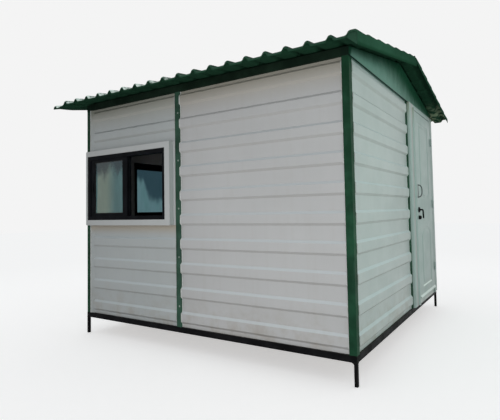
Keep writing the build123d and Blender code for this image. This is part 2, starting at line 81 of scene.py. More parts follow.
class NodeSketch:
    """Lays out the nodes of one procedural material round a Principled shader, layer on layer of colour."""

    def __init__(self, name: str, colour: Colour, **constants: float | Colour) -> None:
        """Starts a material of one colour.

        Args:
            name: name of the material.
            colour: colour under all the layers.
            **constants: names of the shader's own sockets, with underscores for blanks, and their values.
        """
        self.material = bpy.data.materials.new(name)
        self.material.use_nodes = True
        self.nodes = self.material.node_tree.nodes
        self.links = self.material.node_tree.links
        self.shader = self.nodes["Principled BSDF"]
        self.colour: Socket | Colour = colour
        self.place = self.node("TexCoord")["Object"]
        self.facing = self.node("NewGeometry")["Normal"]
        self.x, self.y, self.z = self.parts(self.place)
        _, self.tilt_back, self.tilt_up = self.parts(self.facing)
        self.feed_all(self.shader, constants)

    def feed_all(self, node: bpy.types.Node, values: dict[str, Socket | Colour | float]) -> None:
        """Links or sets inputs of a node by their names, with underscores for blanks."""
        for name, value in values.items():
            self.feed(node.inputs[name.replace("_", " ")], value)

    def node(self, kind: str, **values: Socket | Colour | float) -> bpy.types.NodeOutputs:
        """Adds a shader node of one kind, feeds its inputs and returns its outputs."""
        node = self.nodes.new(f"ShaderNode{kind}")
        self.feed_all(node, values)
        return node.outputs

    def feed(self, socket: Socket, value: Socket | Colour | float) -> None:
        """Links or sets one input.

        Args:
            socket: the input.
            value: what goes into it.
        """
        if isinstance(value, bpy.types.NodeSocket):
            self.links.new(value, socket)
        else:
            is_vector = isinstance(value, tuple)
            socket.default_value = (*value, 1.0)[:len(socket.default_value)] if is_vector else value

    def parts(self, vector: Socket) -> tuple[Socket, ...]:
        """The three components of a vector."""
        return tuple(self.node("SeparateXYZ", Vector=vector))

    def stretched(self, scale: Point) -> Socket:
        """Object coordinates scaled along each axis."""
        return self.node("Mapping", Scale=scale, Vector=self.place)["Vector"]

    def noise(self, scale: float, detail: float, stretch: Point = EVEN, rough: float = 0.55) -> Socket:
        """Fractal noise from 0 to 1.

        Args:
            scale: features per metre.
            detail: octaves.
            stretch: scale along each axis.
            rough: weight of the small octaves.

        Returns:
            The noise value.
        """
        place = self.stretched(stretch)
        return self.node("TexNoise", Scale=scale, Detail=detail, Roughness=rough, Vector=place)["Fac"]

    def cells(self, scale: float) -> Socket:
        """Distance to the nearest of points scattered so many to the metre."""
        return self.node("TexVoronoi", Scale=scale, Vector=self.stretched(EVEN))["Distance"]

    def ramp(self, value: Socket, low: float, high: float, start: float = 0.0, end: float = 1.0) -> Socket:
        """Smooth step of a value between two limits.

        Args:
            value: what is mapped.
            low: value that gives start.
            high: value that gives end.
            start: result at low.
            end: result at high.

        Returns:
            The mapped value.
        """
        node = self.nodes.new("ShaderNodeMapRange")
        node.interpolation_type = "SMOOTHSTEP"
        for name, number in (("From Min", low), ("From Max", high), ("To Min", start), ("To Max", end)):
            node.inputs[name].default_value = number
        self.links.new(value, node.inputs["Value"])
        return node.outputs["Result"]

    def blots(self, scale: float, detail: float, low: float, high: float, stretch: Point = EVEN) -> Socket:
        """Patches where a noise rises over a limit.

        Args:
            scale: features per metre.
            detail: octaves.
            low: noise at which a patch starts.
            high: noise from which it is full.
            stretch: scale along each axis.

        Returns:
            The mask.
        """
        return self.ramp(self.noise(scale, detail, stretch), low, high)

    def uneven(self, scale: float, low: float, high: float) -> Socket:
        """Roughness that wanders between two values.

        Args:
            scale: features per metre.
            low: lowest roughness.
            high: highest roughness.

        Returns:
            The roughness.
        """
        return self.ramp(self.noise(scale, 5), 0.3, 0.75, low, high)

    def sum(self, operation: str, first: Socket | float, second: Socket | float) -> Socket:
        """Arithmetic on two values.

        Args:
            operation: Blender's name of the operation.
            first: first value.
            second: second value.

        Returns:
            The result.
        """
        node = self.nodes.new("ShaderNodeMath")
        node.operation = operation
        self.feed(node.inputs[0], first)
        self.feed(node.inputs[1], second)
        return node.outputs[0]

    def times(self, *values: Socket | float) -> Socket:
        """Product of values, of which the first is a socket."""
        product = values[0]
        for value in values[1:]:
            product = self.sum("MULTIPLY", product, value)
        return product

    def layer(self, colour: Colour, *masks: Socket | float) -> None:
        """Lays a colour over the colour so far.

        Args:
            colour: the colour.
            *masks: values whose product is the share of the new colour.
        """
        node = self.nodes.new("ShaderNodeMix")
        node.data_type = "RGBA"
        self.links.new(self.times(*masks), node.inputs["Factor"])
        self.feed(node.inputs[6], self.colour)
        self.feed(node.inputs[7], colour)
        self.colour = node.outputs[2]

    def edges(self, radius: float) -> Socket:
        """Mask that is 1 along the outer edges of the piece, as far from them as the radius."""
        dot = self.nodes.new("ShaderNodeVectorMath")
        dot.operation = "DOT_PRODUCT"
        self.links.new(self.node("Bevel", Radius=radius)[0], dot.inputs[0])
        self.links.new(self.facing, dot.inputs[1])
        return self.ramp(dot.outputs["Value"], 0.99, 0.9)

    def bump(self, height: Socket, depth: float, strength: float) -> None:
        """Gives the shader a bumpy normal.

        Args:
            height: relief from 0 to 1.
            depth: its depth in metres.
            strength: share of the relief that shows.
        """
        normal = self.node("Bump", Distance=depth, Strength=strength, Height=height)["Normal"]
        self.links.new(normal, self.shader.inputs["Normal"])

    def finish(self, roughness: Socket) -> bpy.types.Material:
        """Feeds the layered colour and a roughness to the shader and returns the material."""
        self.links.new(self.colour, self.shader.inputs["Base Color"])
        self.links.new(roughness, self.shader.inputs["Roughness"])
        return self.material


@dataclass(frozen=True)
class CoatedSheet:
    """Satin coating on pressed sheet: clouds, streaks, splashes, specks, painted light on upward ledges (partly dust),
    painted shade on downward faces, under the eave at the head and under the window hood.
    """

    name: str
    colour: Colour
    grime_and_shade: Colour
    ledge: Colour
    streak_share: float = 0.12
    dirt_low: float = 0.2
    dirt_high: float = 0.62
    under_shade_share: float = 0.14
    ledge_tilt: Pair = (0.25, 0.7)
    ledge_below: float = 9.0
    hood_shade_top: float = 0.0

    # Painted shade under the eave: height range and warm tint of two bands on front faces at the wall's head.
    eave_shade_bands = ((2.12, 2.36, (0.97, 0.9, 0.8)), (2.25, 2.4, (0.7, 0.66, 0.56)))
    hood_shade_tint = (1.03, 0.87, 0.72)
    # Heights between which the painted light on ledges fades out under the eave.
    ledge_light_fade = (2.2, 1.8)

    def material(self) -> bpy.types.Material:
        """Builds the finish."""
        sketch = NodeSketch(self.name, self.colour, Specular_IOR_Level=0.3)
        deep = tuple(0.5 * a + 0.5 * b for a, b in zip(self.colour, self.grime_and_shade))
        sketch.layer(toned(self.colour, 1.07), sketch.blots(1.1, 5, 0.3, 0.75))
        sketch.layer(deep, sketch.blots(2.6, 5, 0.46, 0.78, (7, 7, 0.35)), self.streak_share)
        height, top = sketch.z, self.hood_shade_top
        to_front = sketch.ramp(sketch.tilt_back, -0.3, -0.6)
        for low, high, tint in self.eave_shade_bands:
            sketch.layer(toned(self.colour, tint), sketch.ramp(height, low, high), to_front)
        # Warm painted shade in a band just under the window hood, on front faces.
        if top:
            below, above = sketch.ramp(height, top - 0.11, top - 0.01), sketch.ramp(height, top + 0.06, top + 0.02)
            sketch.layer(toned(self.colour, self.hood_shade_tint), below, above, to_front)
        splashed = sketch.ramp(height, self.dirt_high, self.dirt_low)
        sketch.layer(self.grime_and_shade, splashed, sketch.blots(9, 6, 0.38, 0.72), 0.4)
        # Painted shade on downward faces, in the grime colour.
        sketch.layer(self.grime_and_shade, sketch.ramp(sketch.tilt_up, -0.25, -0.7), self.under_shade_share)
        # Painted light on upward faces, partly dust, fading out between 1.8 and 2.2 m where the eave shades the wall.
        ledges = sketch.ramp(sketch.tilt_up, *self.ledge_tilt)
        low_enough = sketch.ramp(height, self.ledge_below, self.ledge_below - 0.2)
        sketch.layer(self.ledge, ledges, low_enough, sketch.ramp(height, *self.ledge_light_fade), 0.8)
        sketch.layer(self.grime_and_shade, sketch.blots(160, 2, 0.66, 0.78), 0.12)
        ripple = sketch.times(sketch.noise(3.2, 2), 0.85)
        sketch.bump(sketch.sum("ADD", ripple, sketch.times(sketch.noise(420, 2), 0.15)), 0.0022, 0.55)
        return sketch.finish(sketch.uneven(5, 0.34, 0.5))


@dataclass(frozen=True)
class GreenEnamel:
    """Brushed enamel with dark and chalked patches and chipped edges."""

    name: str
    colour: Colour
    chalk: Colour
    worn: Colour
    gloss: float
    chalk_share: float

    def material(self) -> bpy.types.Material:
        """Builds the finish."""
        sketch = NodeSketch(self.name, toned(self.colour, 0.55), Specular_IOR_Level=0.03)
        sketch.layer(self.colour, sketch.blots(6, 6, 0.35, 0.72))
        sketch.layer(self.chalk, sketch.blots(14, 7, 0.52, 0.8, (1, 1, 0.3)), self.chalk_share)
        sketch.layer(self.worn, sketch.edges(0.004), sketch.blots(45, 4, 0.5, 0.62), 0.7)
        sketch.bump(sketch.noise(70, 4, BRUSHED), 0.0006, 0.5)
        return sketch.finish(sketch.uneven(11, self.gloss, self.gloss + 0.22))


@dataclass(frozen=True)
class GableCoating:
    """Green coating of a gable: dark under the rake as painted shade, painted light in blotches towards its foot, less
    of it towards +y and near the ends, and painted shade on the ends.
    """

    name: str
    colour: Colour
    foot_light: Colour
    edge: Colour
    ridge_height: float = 2.733
    slope: float = 0.196
    foot_height: float = 2.388

    def material(self) -> bpy.types.Material:
        """Builds the finish."""
        sketch = NodeSketch(self.name, self.colour, Specular_IOR_Level=0.04)
        out = sketch.sum("ABSOLUTE", sketch.y, 0.0)
        rake = sketch.sum("SUBTRACT", self.ridge_height, sketch.times(out, self.slope))
        depth = sketch.sum("SUBTRACT", rake, sketch.z)
        share = sketch.sum("DIVIDE", depth, sketch.sum("SUBTRACT", rake, self.foot_height))
        blotches = sketch.sum("SUBTRACT", sketch.noise(7, 6, (1, 1.5, 0.6)), 0.5)
        share = sketch.sum("ADD", share, sketch.times(blotches, 0.45))
        # Less painted light towards +y and near the gable's ends, so the painted shade stays there.
        for clear in (sketch.ramp(sketch.y, -0.9, 0.7, 0.0, 0.55), sketch.ramp(out, 1.33, 1.4)):
            share = sketch.sum("SUBTRACT", share, clear)
        sketch.layer(self.foot_light, sketch.ramp(share, -0.15, 0.8))
        # Painted shade on the gable's ends beside the corner posts.
        sketch.layer(self.edge, sketch.ramp(out, 1.395, 1.408))
        sketch.bump(sketch.noise(70, 4, BRUSHED), 0.0006, 0.5)
        return sketch.finish(sketch.uneven(11, 0.36, 0.6))


@dataclass(frozen=True)
class RoofCoating:
    """Dark green coating on the roof sheets: dusty on top, dirt and painted shade below, painted glints at the front
    eave and painted light patches under the back eave.
    """

    name: str
    colour: Colour
    dust: Colour
    under: Colour
    underside_light: Colour
    eave_glint: Colour = (0.72, 0.84, 0.78)

    def material(self) -> bpy.types.Material:
        """Builds the finish."""
        sketch = NodeSketch(self.name, self.colour, Specular_IOR_Level=0.0, Coat_Roughness=0.16, Coat_IOR=1.5)
        x, y, tilt = sketch.x, sketch.y, sketch.tilt_up
        sketch.layer(toned(self.colour, 1.5), sketch.blots(2.2, 6, 0.35, 0.72))
        sketch.layer(self.dust, sketch.blots(3, 6, 0.5, 0.8, (9, 1.1, 1)), sketch.ramp(tilt, 0.55, 0.95), 0.55)
        # Painted glints on the crests' flanks along the front eave, towards its left end.
        eave = sketch.times(sketch.ramp(y, -1.6, -1.655), sketch.blots(30, 4, 0.3, 0.55))
        sketch.layer(self.eave_glint, eave, sketch.ramp(x, 0.15, -0.3), sketch.ramp(tilt, 0.15, 0.42), 0.9)
        sketch.layer(self.dust, sketch.ramp(sketch.cells(70), 0.16, 0.08), 0.25)
        # Downward faces darker: dirt and painted shade.
        below = sketch.ramp(tilt, -0.15, -0.6)
        sketch.layer(self.under, below)
        # Painted light: pale olive patches on the back slope's underside towards its eave.
        sketch.layer(self.underside_light, below, sketch.ramp(y, 1.0, 1.6), sketch.blots(13, 5, 0.42, 0.6), 0.85)
        polished = sketch.times(sketch.ramp(y, -1.5, -1.62), sketch.ramp(x, 0.3, -0.2))
        polished = sketch.times(sketch.ramp(polished, 0.0, 1.0, 0.2, 1.0), sketch.ramp(tilt, 0.5, 0.85))
        sketch.links.new(polished, sketch.shader.inputs["Coat Weight"])
        sketch.bump(sketch.sum("ADD", sketch.noise(6, 3), sketch.times(sketch.noise(260, 2), 0.2)), 0.0016, 0.5)
        return sketch.finish(sketch.uneven(8, 0.32, 0.56))


@dataclass(frozen=True)
class BlackPaint:
    """Black paint on rolled steel, with dust on top, rust spots, rubbed edges and a fine orange peel."""

    name: str
    colour: Colour
    dust: Colour
    rust: Colour
    rust_share: float
    rough_low: float = 0.36

    def material(self) -> bpy.types.Material:
        """Builds the finish."""
        sketch = NodeSketch(self.name, self.colour, Specular_IOR_Level=0.02)
        sketch.layer(toned(self.colour, 2.2), sketch.blots(9, 6, 0.35, 0.75))
        sketch.layer(self.dust, sketch.ramp(sketch.tilt_up, 0.3, 0.9), sketch.noise(18, 5))
        sketch.layer(self.rust, sketch.ramp(sketch.noise(30, 8, EVEN, 0.7), 0.64, 0.74), self.rust_share)
        sketch.layer(self.dust, sketch.edges(0.003), sketch.blots(60, 4, 0.45, 0.6), 0.5)
        sketch.bump(sketch.noise(190, 3), 0.0005, 0.5)
        return sketch.finish(sketch.uneven(12, self.rough_low, self.rough_low + 0.24))


@dataclass(frozen=True)
class TintedGlass:
    """Tinted float glass on a partly diffuse veil that shows painted reflections: a pale run and a dark band towards
    the head.
    """

    name: str
    tint: Colour
    shaded: Colour
    deep: Colour
    film_and_sheen: Colour
    head: float = 1.62
    veil: float = 0.5

    def material(self) -> bpy.types.Material:
        """Builds the finish."""
        sketch = NodeSketch(self.name, self.shaded, IOR=1.36, Specular_IOR_Level=0.5)
        clouds = sketch.noise(3.4, 5, (1.6, 1.6, 0.7))
        smears = sketch.blots(22, 5, 0.45, 0.75, (1, 1, 0.3))
        x = sketch.sum("ADD", sketch.x, sketch.times(sketch.noise(5, 3), 0.05))
        height = sketch.sum("ADD", sketch.z, sketch.times(sketch.ramp(sketch.y, -0.64, -0.5), 0.26))
        height = sketch.sum("ADD", height, sketch.times(sketch.sum("SUBTRACT", clouds, 0.5), 0.45))
        in_front = sketch.ramp(sketch.x, -1.5, -1.4)
        sketch.layer(self.tint, in_front)
        sketch.layer(toned(self.tint, 0.7), sketch.ramp(clouds, 0.4, 0.62), 0.5)
        # Painted reflection: a pale vertical run across the left pane.
        sketch.layer(self.film_and_sheen, sketch.ramp(x, -1.31, -1.27), sketch.ramp(x, -0.98, -1.17), 0.85)
        # Painted reflection of the dark eave: darker towards the head.
        sketch.layer(self.deep, sketch.ramp(height, self.head, self.head + 0.14), 0.85)
        # Veil: share of the glass that is diffuse and shows the painted colours, partly a dust film.
        veil_share = sketch.ramp(in_front, 0.0, 1.0, 0.08, self.veil)
        veil = sketch.sum("ADD", veil_share, sketch.times(smears, 0.06))
        sketch.links.new(sketch.sum("SUBTRACT", 1.0, veil), sketch.shader.inputs["Transmission Weight"])
        sketch.bump(sketch.noise(1.6, 1), 0.0012, 0.12)
        return sketch.finish(sketch.ramp(smears, 0.0, 1.0, 0.03, 0.1))


@dataclass(frozen=True)
class BareSteel:
    """Plated or brushed steel with fine scratches and a dull film."""

    name: str
    colour: Colour
    film_and_sheen: Colour

    def material(self) -> bpy.types.Material:
        """Builds the finish."""
        sketch = NodeSketch(self.name, self.colour, Metallic=0.9, Specular_IOR_Level=0.5)
        scratches = sketch.noise(90, 3, (14, 14, 1))
        sketch.layer(self.film_and_sheen, sketch.blots(26, 6, 0.45, 0.72), 0.6)
        sketch.bump(scratches, 0.0002, 0.4)
        return sketch.finish(sketch.ramp(scratches, 0.3, 0.7, 0.26, 0.44))


@dataclass(frozen=True)
class SoftFill:
    """Rubber seal or gun-applied sealant: matt, with finger marks and gathered dust."""

    name: str
    colour: Colour
    dust: Colour
    rough_low: float = 0.5

    def material(self) -> bpy.types.Material:
        """Builds the finish."""
        sketch = NodeSketch(self.name, self.colour, Specular_IOR_Level=0.06)
        marks = sketch.noise(38, 5)
        sketch.layer(self.dust, sketch.ramp(marks, 0.4, 0.75))
        sketch.bump(sketch.noise(120, 3), 0.0006, 0.5)
        return sketch.finish(sketch.ramp(marks, 0.3, 0.7, self.rough_low, self.rough_low + 0.25))


@dataclass(frozen=True)
class FloorPly:
    """Varnished floor board with long grain, joints and scuffs."""

    name: str
    light: Colour
    dark: Colour
    scuff: Colour
    joint: Colour = (0.05, 0.035, 0.025)
    half_board: float = 0.305

    def material(self) -> bpy.types.Material:
        """Builds the finish."""
        sketch = NodeSketch(self.name, self.dark, Specular_IOR_Level=0.4)
        grain = sketch.noise(5, 8, (0.6, 9, 1), 0.6)
        sketch.layer(self.light, sketch.ramp(grain, 0.32, 0.7))
        from_joint = sketch.sum("PINGPONG", sketch.x, self.half_board)
        sketch.layer(self.joint, sketch.ramp(from_joint, 0.004, 0.0015), 0.8)
        scuffs = sketch.blots(4, 7, 0.5, 0.75)
        sketch.layer(self.scuff, scuffs, 0.4)
        sketch.bump(grain, 0.0005, 0.4)
        return sketch.finish(sketch.ramp(scuffs, 0.0, 1.0, 0.4, 0.65))


# Grime of the sheets, also the colour of their painted shade on downward faces.
SHEET_GRIME_AND_SHADE = (0.25, 0.205, 0.15)


class Finish(Enum):
    """Finishes of the cabin."""

    # Coated sheets: colour, grime that also paints shade on downward faces, and ledge colour, painted light on upward
    # faces, partly dust.
    WALL = CoatedSheet("wall_coating", (0.395, 0.398, 0.40), SHEET_GRIME_AND_SHADE, (0.475, 0.515, 0.535))
    # Darker, greener copy of the wall coating for the front wall's left bay: its tint, and painted shade where the
    # light falls off to the left.
    AGED = CoatedSheet("left_bay_shaded_coating", (0.362, 0.386, 0.389), SHEET_GRIME_AND_SHADE, (0.45, 0.5, 0.52), hood_shade_top=1.146)
    HOOD = CoatedSheet("hood_paint", (0.40, 0.415, 0.415), (0.27, 0.23, 0.18), (0.46, 0.47, 0.47), 0.1, 1.0, 1.18)
    # Door: bright painted highlight on upward faces near its foot.
    DOOR = CoatedSheet(
        "door_coating", (0.31, 0.362, 0.35), (0.2, 0.2, 0.17), (0.8, 0.84, 0.8), 0.15, 0.2, 0.5, 0.22,
        ledge_tilt=(0.12, 0.36), ledge_below=0.8,
    )
    FRAME = CoatedSheet("frame_coating", (0.376, 0.354, 0.352), (0.22, 0.2, 0.18), (0.5, 0.5, 0.5), 0.15, 0.2, 0.5)
    # Sill and bar: bright painted highlights on their upward faces.
    SILL = CoatedSheet("sill_paint", (0.37, 0.4, 0.38), (0.2, 0.19, 0.17), (0.9, 0.93, 0.91), 0.2, 0.2, 0.3, 0.1)
    BAR = CoatedSheet("bar_paint", (0.4, 0.45, 0.43), (0.3, 0.3, 0.28), (0.9, 0.93, 0.91), 0.1, 0.2, 0.24, 0.3)
    POST = GreenEnamel("post_enamel", (0.0155, 0.063, 0.033), (0.036, 0.09, 0.06), (0.1, 0.125, 0.105), 0.3, 0.3)
    WORN = GreenEnamel("worn_enamel", (0.038, 0.088, 0.06), (0.105, 0.15, 0.14), (0.14, 0.17, 0.15), 0.3, 0.2)
    # Near-black copy of the post enamel for the roof beams: painted shade under the eaves.
    BEAM = GreenEnamel("beam_enamel_in_shade", (0.012, 0.025, 0.016), (0.018, 0.032, 0.022), (0.024, 0.036, 0.028), 0.4, 0.3)
    GABLE = GableCoating("gable_coating", (0.012, 0.054, 0.03), (0.14, 0.235, 0.2), (0.008, 0.018, 0.012))
    ROOF = RoofCoating(
        "roof_coating", (0.02, 0.054, 0.034), (0.05, 0.1, 0.06), (0.0165, 0.052, 0.03), (0.3, 0.37, 0.24),
    )
    BASE = BlackPaint("base_paint", (0.0045, 0.0045, 0.005), (0.05, 0.046, 0.04), (0.05, 0.022, 0.011), 0.4)
    WINDOW = BlackPaint("window_coating", (0.0035, 0.004, 0.005), (0.03, 0.03, 0.033), (0.02, 0.02, 0.02), 0.05)
    LOCK = BlackPaint("lock_coating", (0.005, 0.005, 0.005), (0.03, 0.03, 0.03), (0.03, 0.03, 0.03), 0.1, 0.3)
    # Near-black paint of the gable drips, a painted shadow line under the gables.
    DRIP = BlackPaint("drip_shadow_paint", (0.005, 0.012, 0.01), (0.02, 0.03, 0.025), (0.02, 0.02, 0.018), 0.1, 0.45)
    GLASS = TintedGlass(
        "tinted_glass", (0.13, 0.295, 0.305), (0.118, 0.222, 0.248), (0.018, 0.044, 0.064), (0.34, 0.42, 0.34),
    )
    STEEL = BareSteel("brushed_steel", (0.14, 0.16, 0.155), (0.06, 0.07, 0.068))
    SCREW = BareSteel("screw_plating", (0.24, 0.3, 0.27), (0.12, 0.16, 0.135))
    RUBBER = SoftFill("rubber_seal", (0.012, 0.012, 0.013), (0.045, 0.045, 0.042))
    SEAL = SoftFill("door_rubber", (0.2, 0.23, 0.22), (0.27, 0.29, 0.28))
    SEALANT = SoftFill("sealant", (0.50, 0.51, 0.505), (0.38, 0.38, 0.36), 0.42)
    FLOOR = FloorPly("floor_board", (0.34, 0.235, 0.145), (0.2, 0.13, 0.075), (0.3, 0.28, 0.25))

    @property
    def material(self) -> bpy.types.Material:
        """Material of the finish, built on first use."""
        return bpy.data.materials.get(self.value.name) or self.value.material()


def dress(finish: Finish, *nodes: str) -> None:
    """Gives CAD nodes a finish.

    Args:
        finish: the finish.
        *nodes: names of the nodes.
    """
    for name in nodes:
        piece = frame["nodes"][name]
        if not piece.material_slots:
            piece.data.materials.append(finish.material)
        for slot in piece.material_slots:
            slot.material = finish.material
        log.info("%s wears %s", name, finish.value.name)


class MeshDraft:
    """Points and faces of one piece, gathered before they become an object."""

    def __init__(self) -> None:
        """Starts with nothing."""
        self.points: list[Vector] = []
        self.faces: list[tuple[int, ...]] = []

    def skin(self, rings: list[list[Vector]], loop: bool = False, open_rings: bool = False) -> None:
        """Joins rings of equal size by quads and closes the two ends.

        Args:
            rings: the rings, in order.
            loop: whether the last ring joins the first.
            open_rings: whether a ring's last point stays apart from its first.
        """
        start, size, count = len(self.points), len(rings[0]), len(rings)
        self.points += [Vector(point) for ring in rings for point in ring]
        for row in range(count if loop else count - 1):
            here, there = start + row * size, start + (row + 1) % count * size
            for k in range(size - 1 if open_rings else size):
                m = (k + 1) % size
                self.faces.append((here + k, here + m, there + m, there + k))
        if not loop and not open_rings:
            self.faces.append(tuple(range(start + size - 1, start - 1, -1)))
            self.faces.append(tuple(range(start + (count - 1) * size, start + count * size)))

    def tube(self, path: list[Vector], radii: Sequence[Pair], sides: int) -> None:
        """Sweeps an ellipse along a path.

        Args:
            path: points of the middle line.
            radii: the ellipse's two radii at each point.
            sides: points round the ellipse.
        """
        ahead = [(path[min(i + 1, len(path) - 1)] - path[max(i - 1, 0)]).normalized() for i in range(len(path))]
        side = ahead[0].orthogonal().normalized()
        rings = []
        for point, along, (wide, thick) in zip(path, ahead, radii):
            side = (side - along * side.dot(along)).normalized()
            other = along.cross(side)
            angles = [2 * math.pi * k / sides for k in range(sides)]
            rings.append([point + side * wide * math.cos(a) + other * thick * math.sin(a) for a in angles])
        self.skin(rings)

    def turned(self, origin: Vector, axis: Vector, profile: Sequence[Pair], sides: int) -> None:
        """Turns a profile about an axis.

        Args:
            origin: foot of the axis.
            axis: its direction.
            profile: radius and height of each ring.
            sides: points round a ring.
        """
        axis = axis.normalized()
        side = axis.orthogonal().normalized()
        other = axis.cross(side)
        angles = [2 * math.pi * k / sides for k in range(sides)]
        self.skin([
            [origin + axis * height + (side * math.cos(a) + other * math.sin(a)) * radius for a in angles]
            for radius, height in profile
        ])

    def bar(self, low: Point, high: Point, edge: float) -> None:
        """Box between two corners with all its edges cut.

        Args:
            low: lowest corner.
            high: highest corner.
            edge: width of the cut.
        """
        rings = []
        for z, inset in ((low[2], edge), (low[2] + edge, 0.0), (high[2] - edge, 0.0), (high[2], edge)):
            x0, x1 = low[0] + inset, high[0] - inset
            y0, y1 = low[1] + inset, high[1] - inset
            corners = [
                (x0 + edge, y0), (x1 - edge, y0), (x1, y0 + edge), (x1, y1 - edge),
                (x1 - edge, y1), (x0 + edge, y1), (x0, y1 - edge), (x0, y0 + edge),
            ]
            rings.append([Vector((x, y, z)) for x, y in corners])
        self.skin(rings)

    def moulding(self, low: Pair, high: Pair, profile: list[Pair]) -> None:
        """Runs a moulding round an upright rectangle in the X-Z plane, mitred at its corners.

        Args:
            low: lowest x and z of the rectangle.
            high: highest x and z.
            profile: inset from the rectangle and y of each point.
        """
        (x0, z0), (x1, z1) = low, high
        corners = [(x0, z0, 1, 1), (x1, z0, -1, 1), (x1, z1, -1, -1), (x0, z1, 1, -1)]
        self.skin([[Vector((x + sx * d, y, z + sz * d)) for d, y in profile] for x, z, sx, sz in corners], loop=True)

    def piece(self, name: str, finish: Finish, body: Body, slot: str, sharp: float = 35.0) -> bpy.types.Object:
        """Makes the object and lets it ride.

        Args:
            name: name of the piece.
            finish: its finish.
            body: the body that it rides on.
            slot: the record's slot of its finish, not used.
            sharp: angle in degrees above which an edge stays sharp.

        Returns:
            The piece.
        """
        mesh = bpy.data.meshes.new(name)
        mesh.from_pydata(self.points, [], self.faces)
        made = bmesh.new()
        made.from_mesh(mesh)
        bmesh.ops.recalc_face_normals(made, faces=made.faces)
        made.to_mesh(mesh)
        made.free()
        mesh.polygons.foreach_set("use_smooth", [True] * len(mesh.polygons))
        mesh.set_sharp_from_angle(angle=math.radians(sharp))
        mesh.materials.append(finish.material)
        piece = bpy.data.objects.new(name, mesh)
        bpy.context.scene.collection.objects.link(piece)
        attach(piece, body.value)
        log.info("%s rides on %s with %d faces", name, body.value, len(mesh.polygons))
        return piece


def rounded(corners: list[Vector], radius: float, steps: int = 6) -> list[Vector]:
    """Path through corners with each inner corner turned on an arc.

    Args:
        corners: points of the path.
        radius: how far from a corner its turn starts.
        steps: points on each turn.

    Returns:
        The rounded path.
    """
    path = [corners[0]]
    for before, corner, after in zip(corners, corners[1:], corners[2:]):
        start = corner + (before - corner).normalized() * radius
        end = corner + (after - corner).normalized() * radius
        for step in range(steps + 1):
            t = step / steps
            path.append(start * (1 - t) ** 2 + corner * 2 * t * (1 - t) + end * t**2)
    return path + [corners[-1]]


def read_off(line: Sequence[Pair], at: float) -> float:
    """Value of a broken line at a place.

    Args:
        line: place and value of each bend, in order.
        at: the place, between the line's ends.

    Returns:
        The value.
    """
    for (p0, v0), (p1, v1) in zip(line, line[1:]):
        if p0 <= at <= p1 and p1 > p0:
            return v0 + (v1 - v0) * (at - p0) / (p1 - p0)
    return line[-1][1]


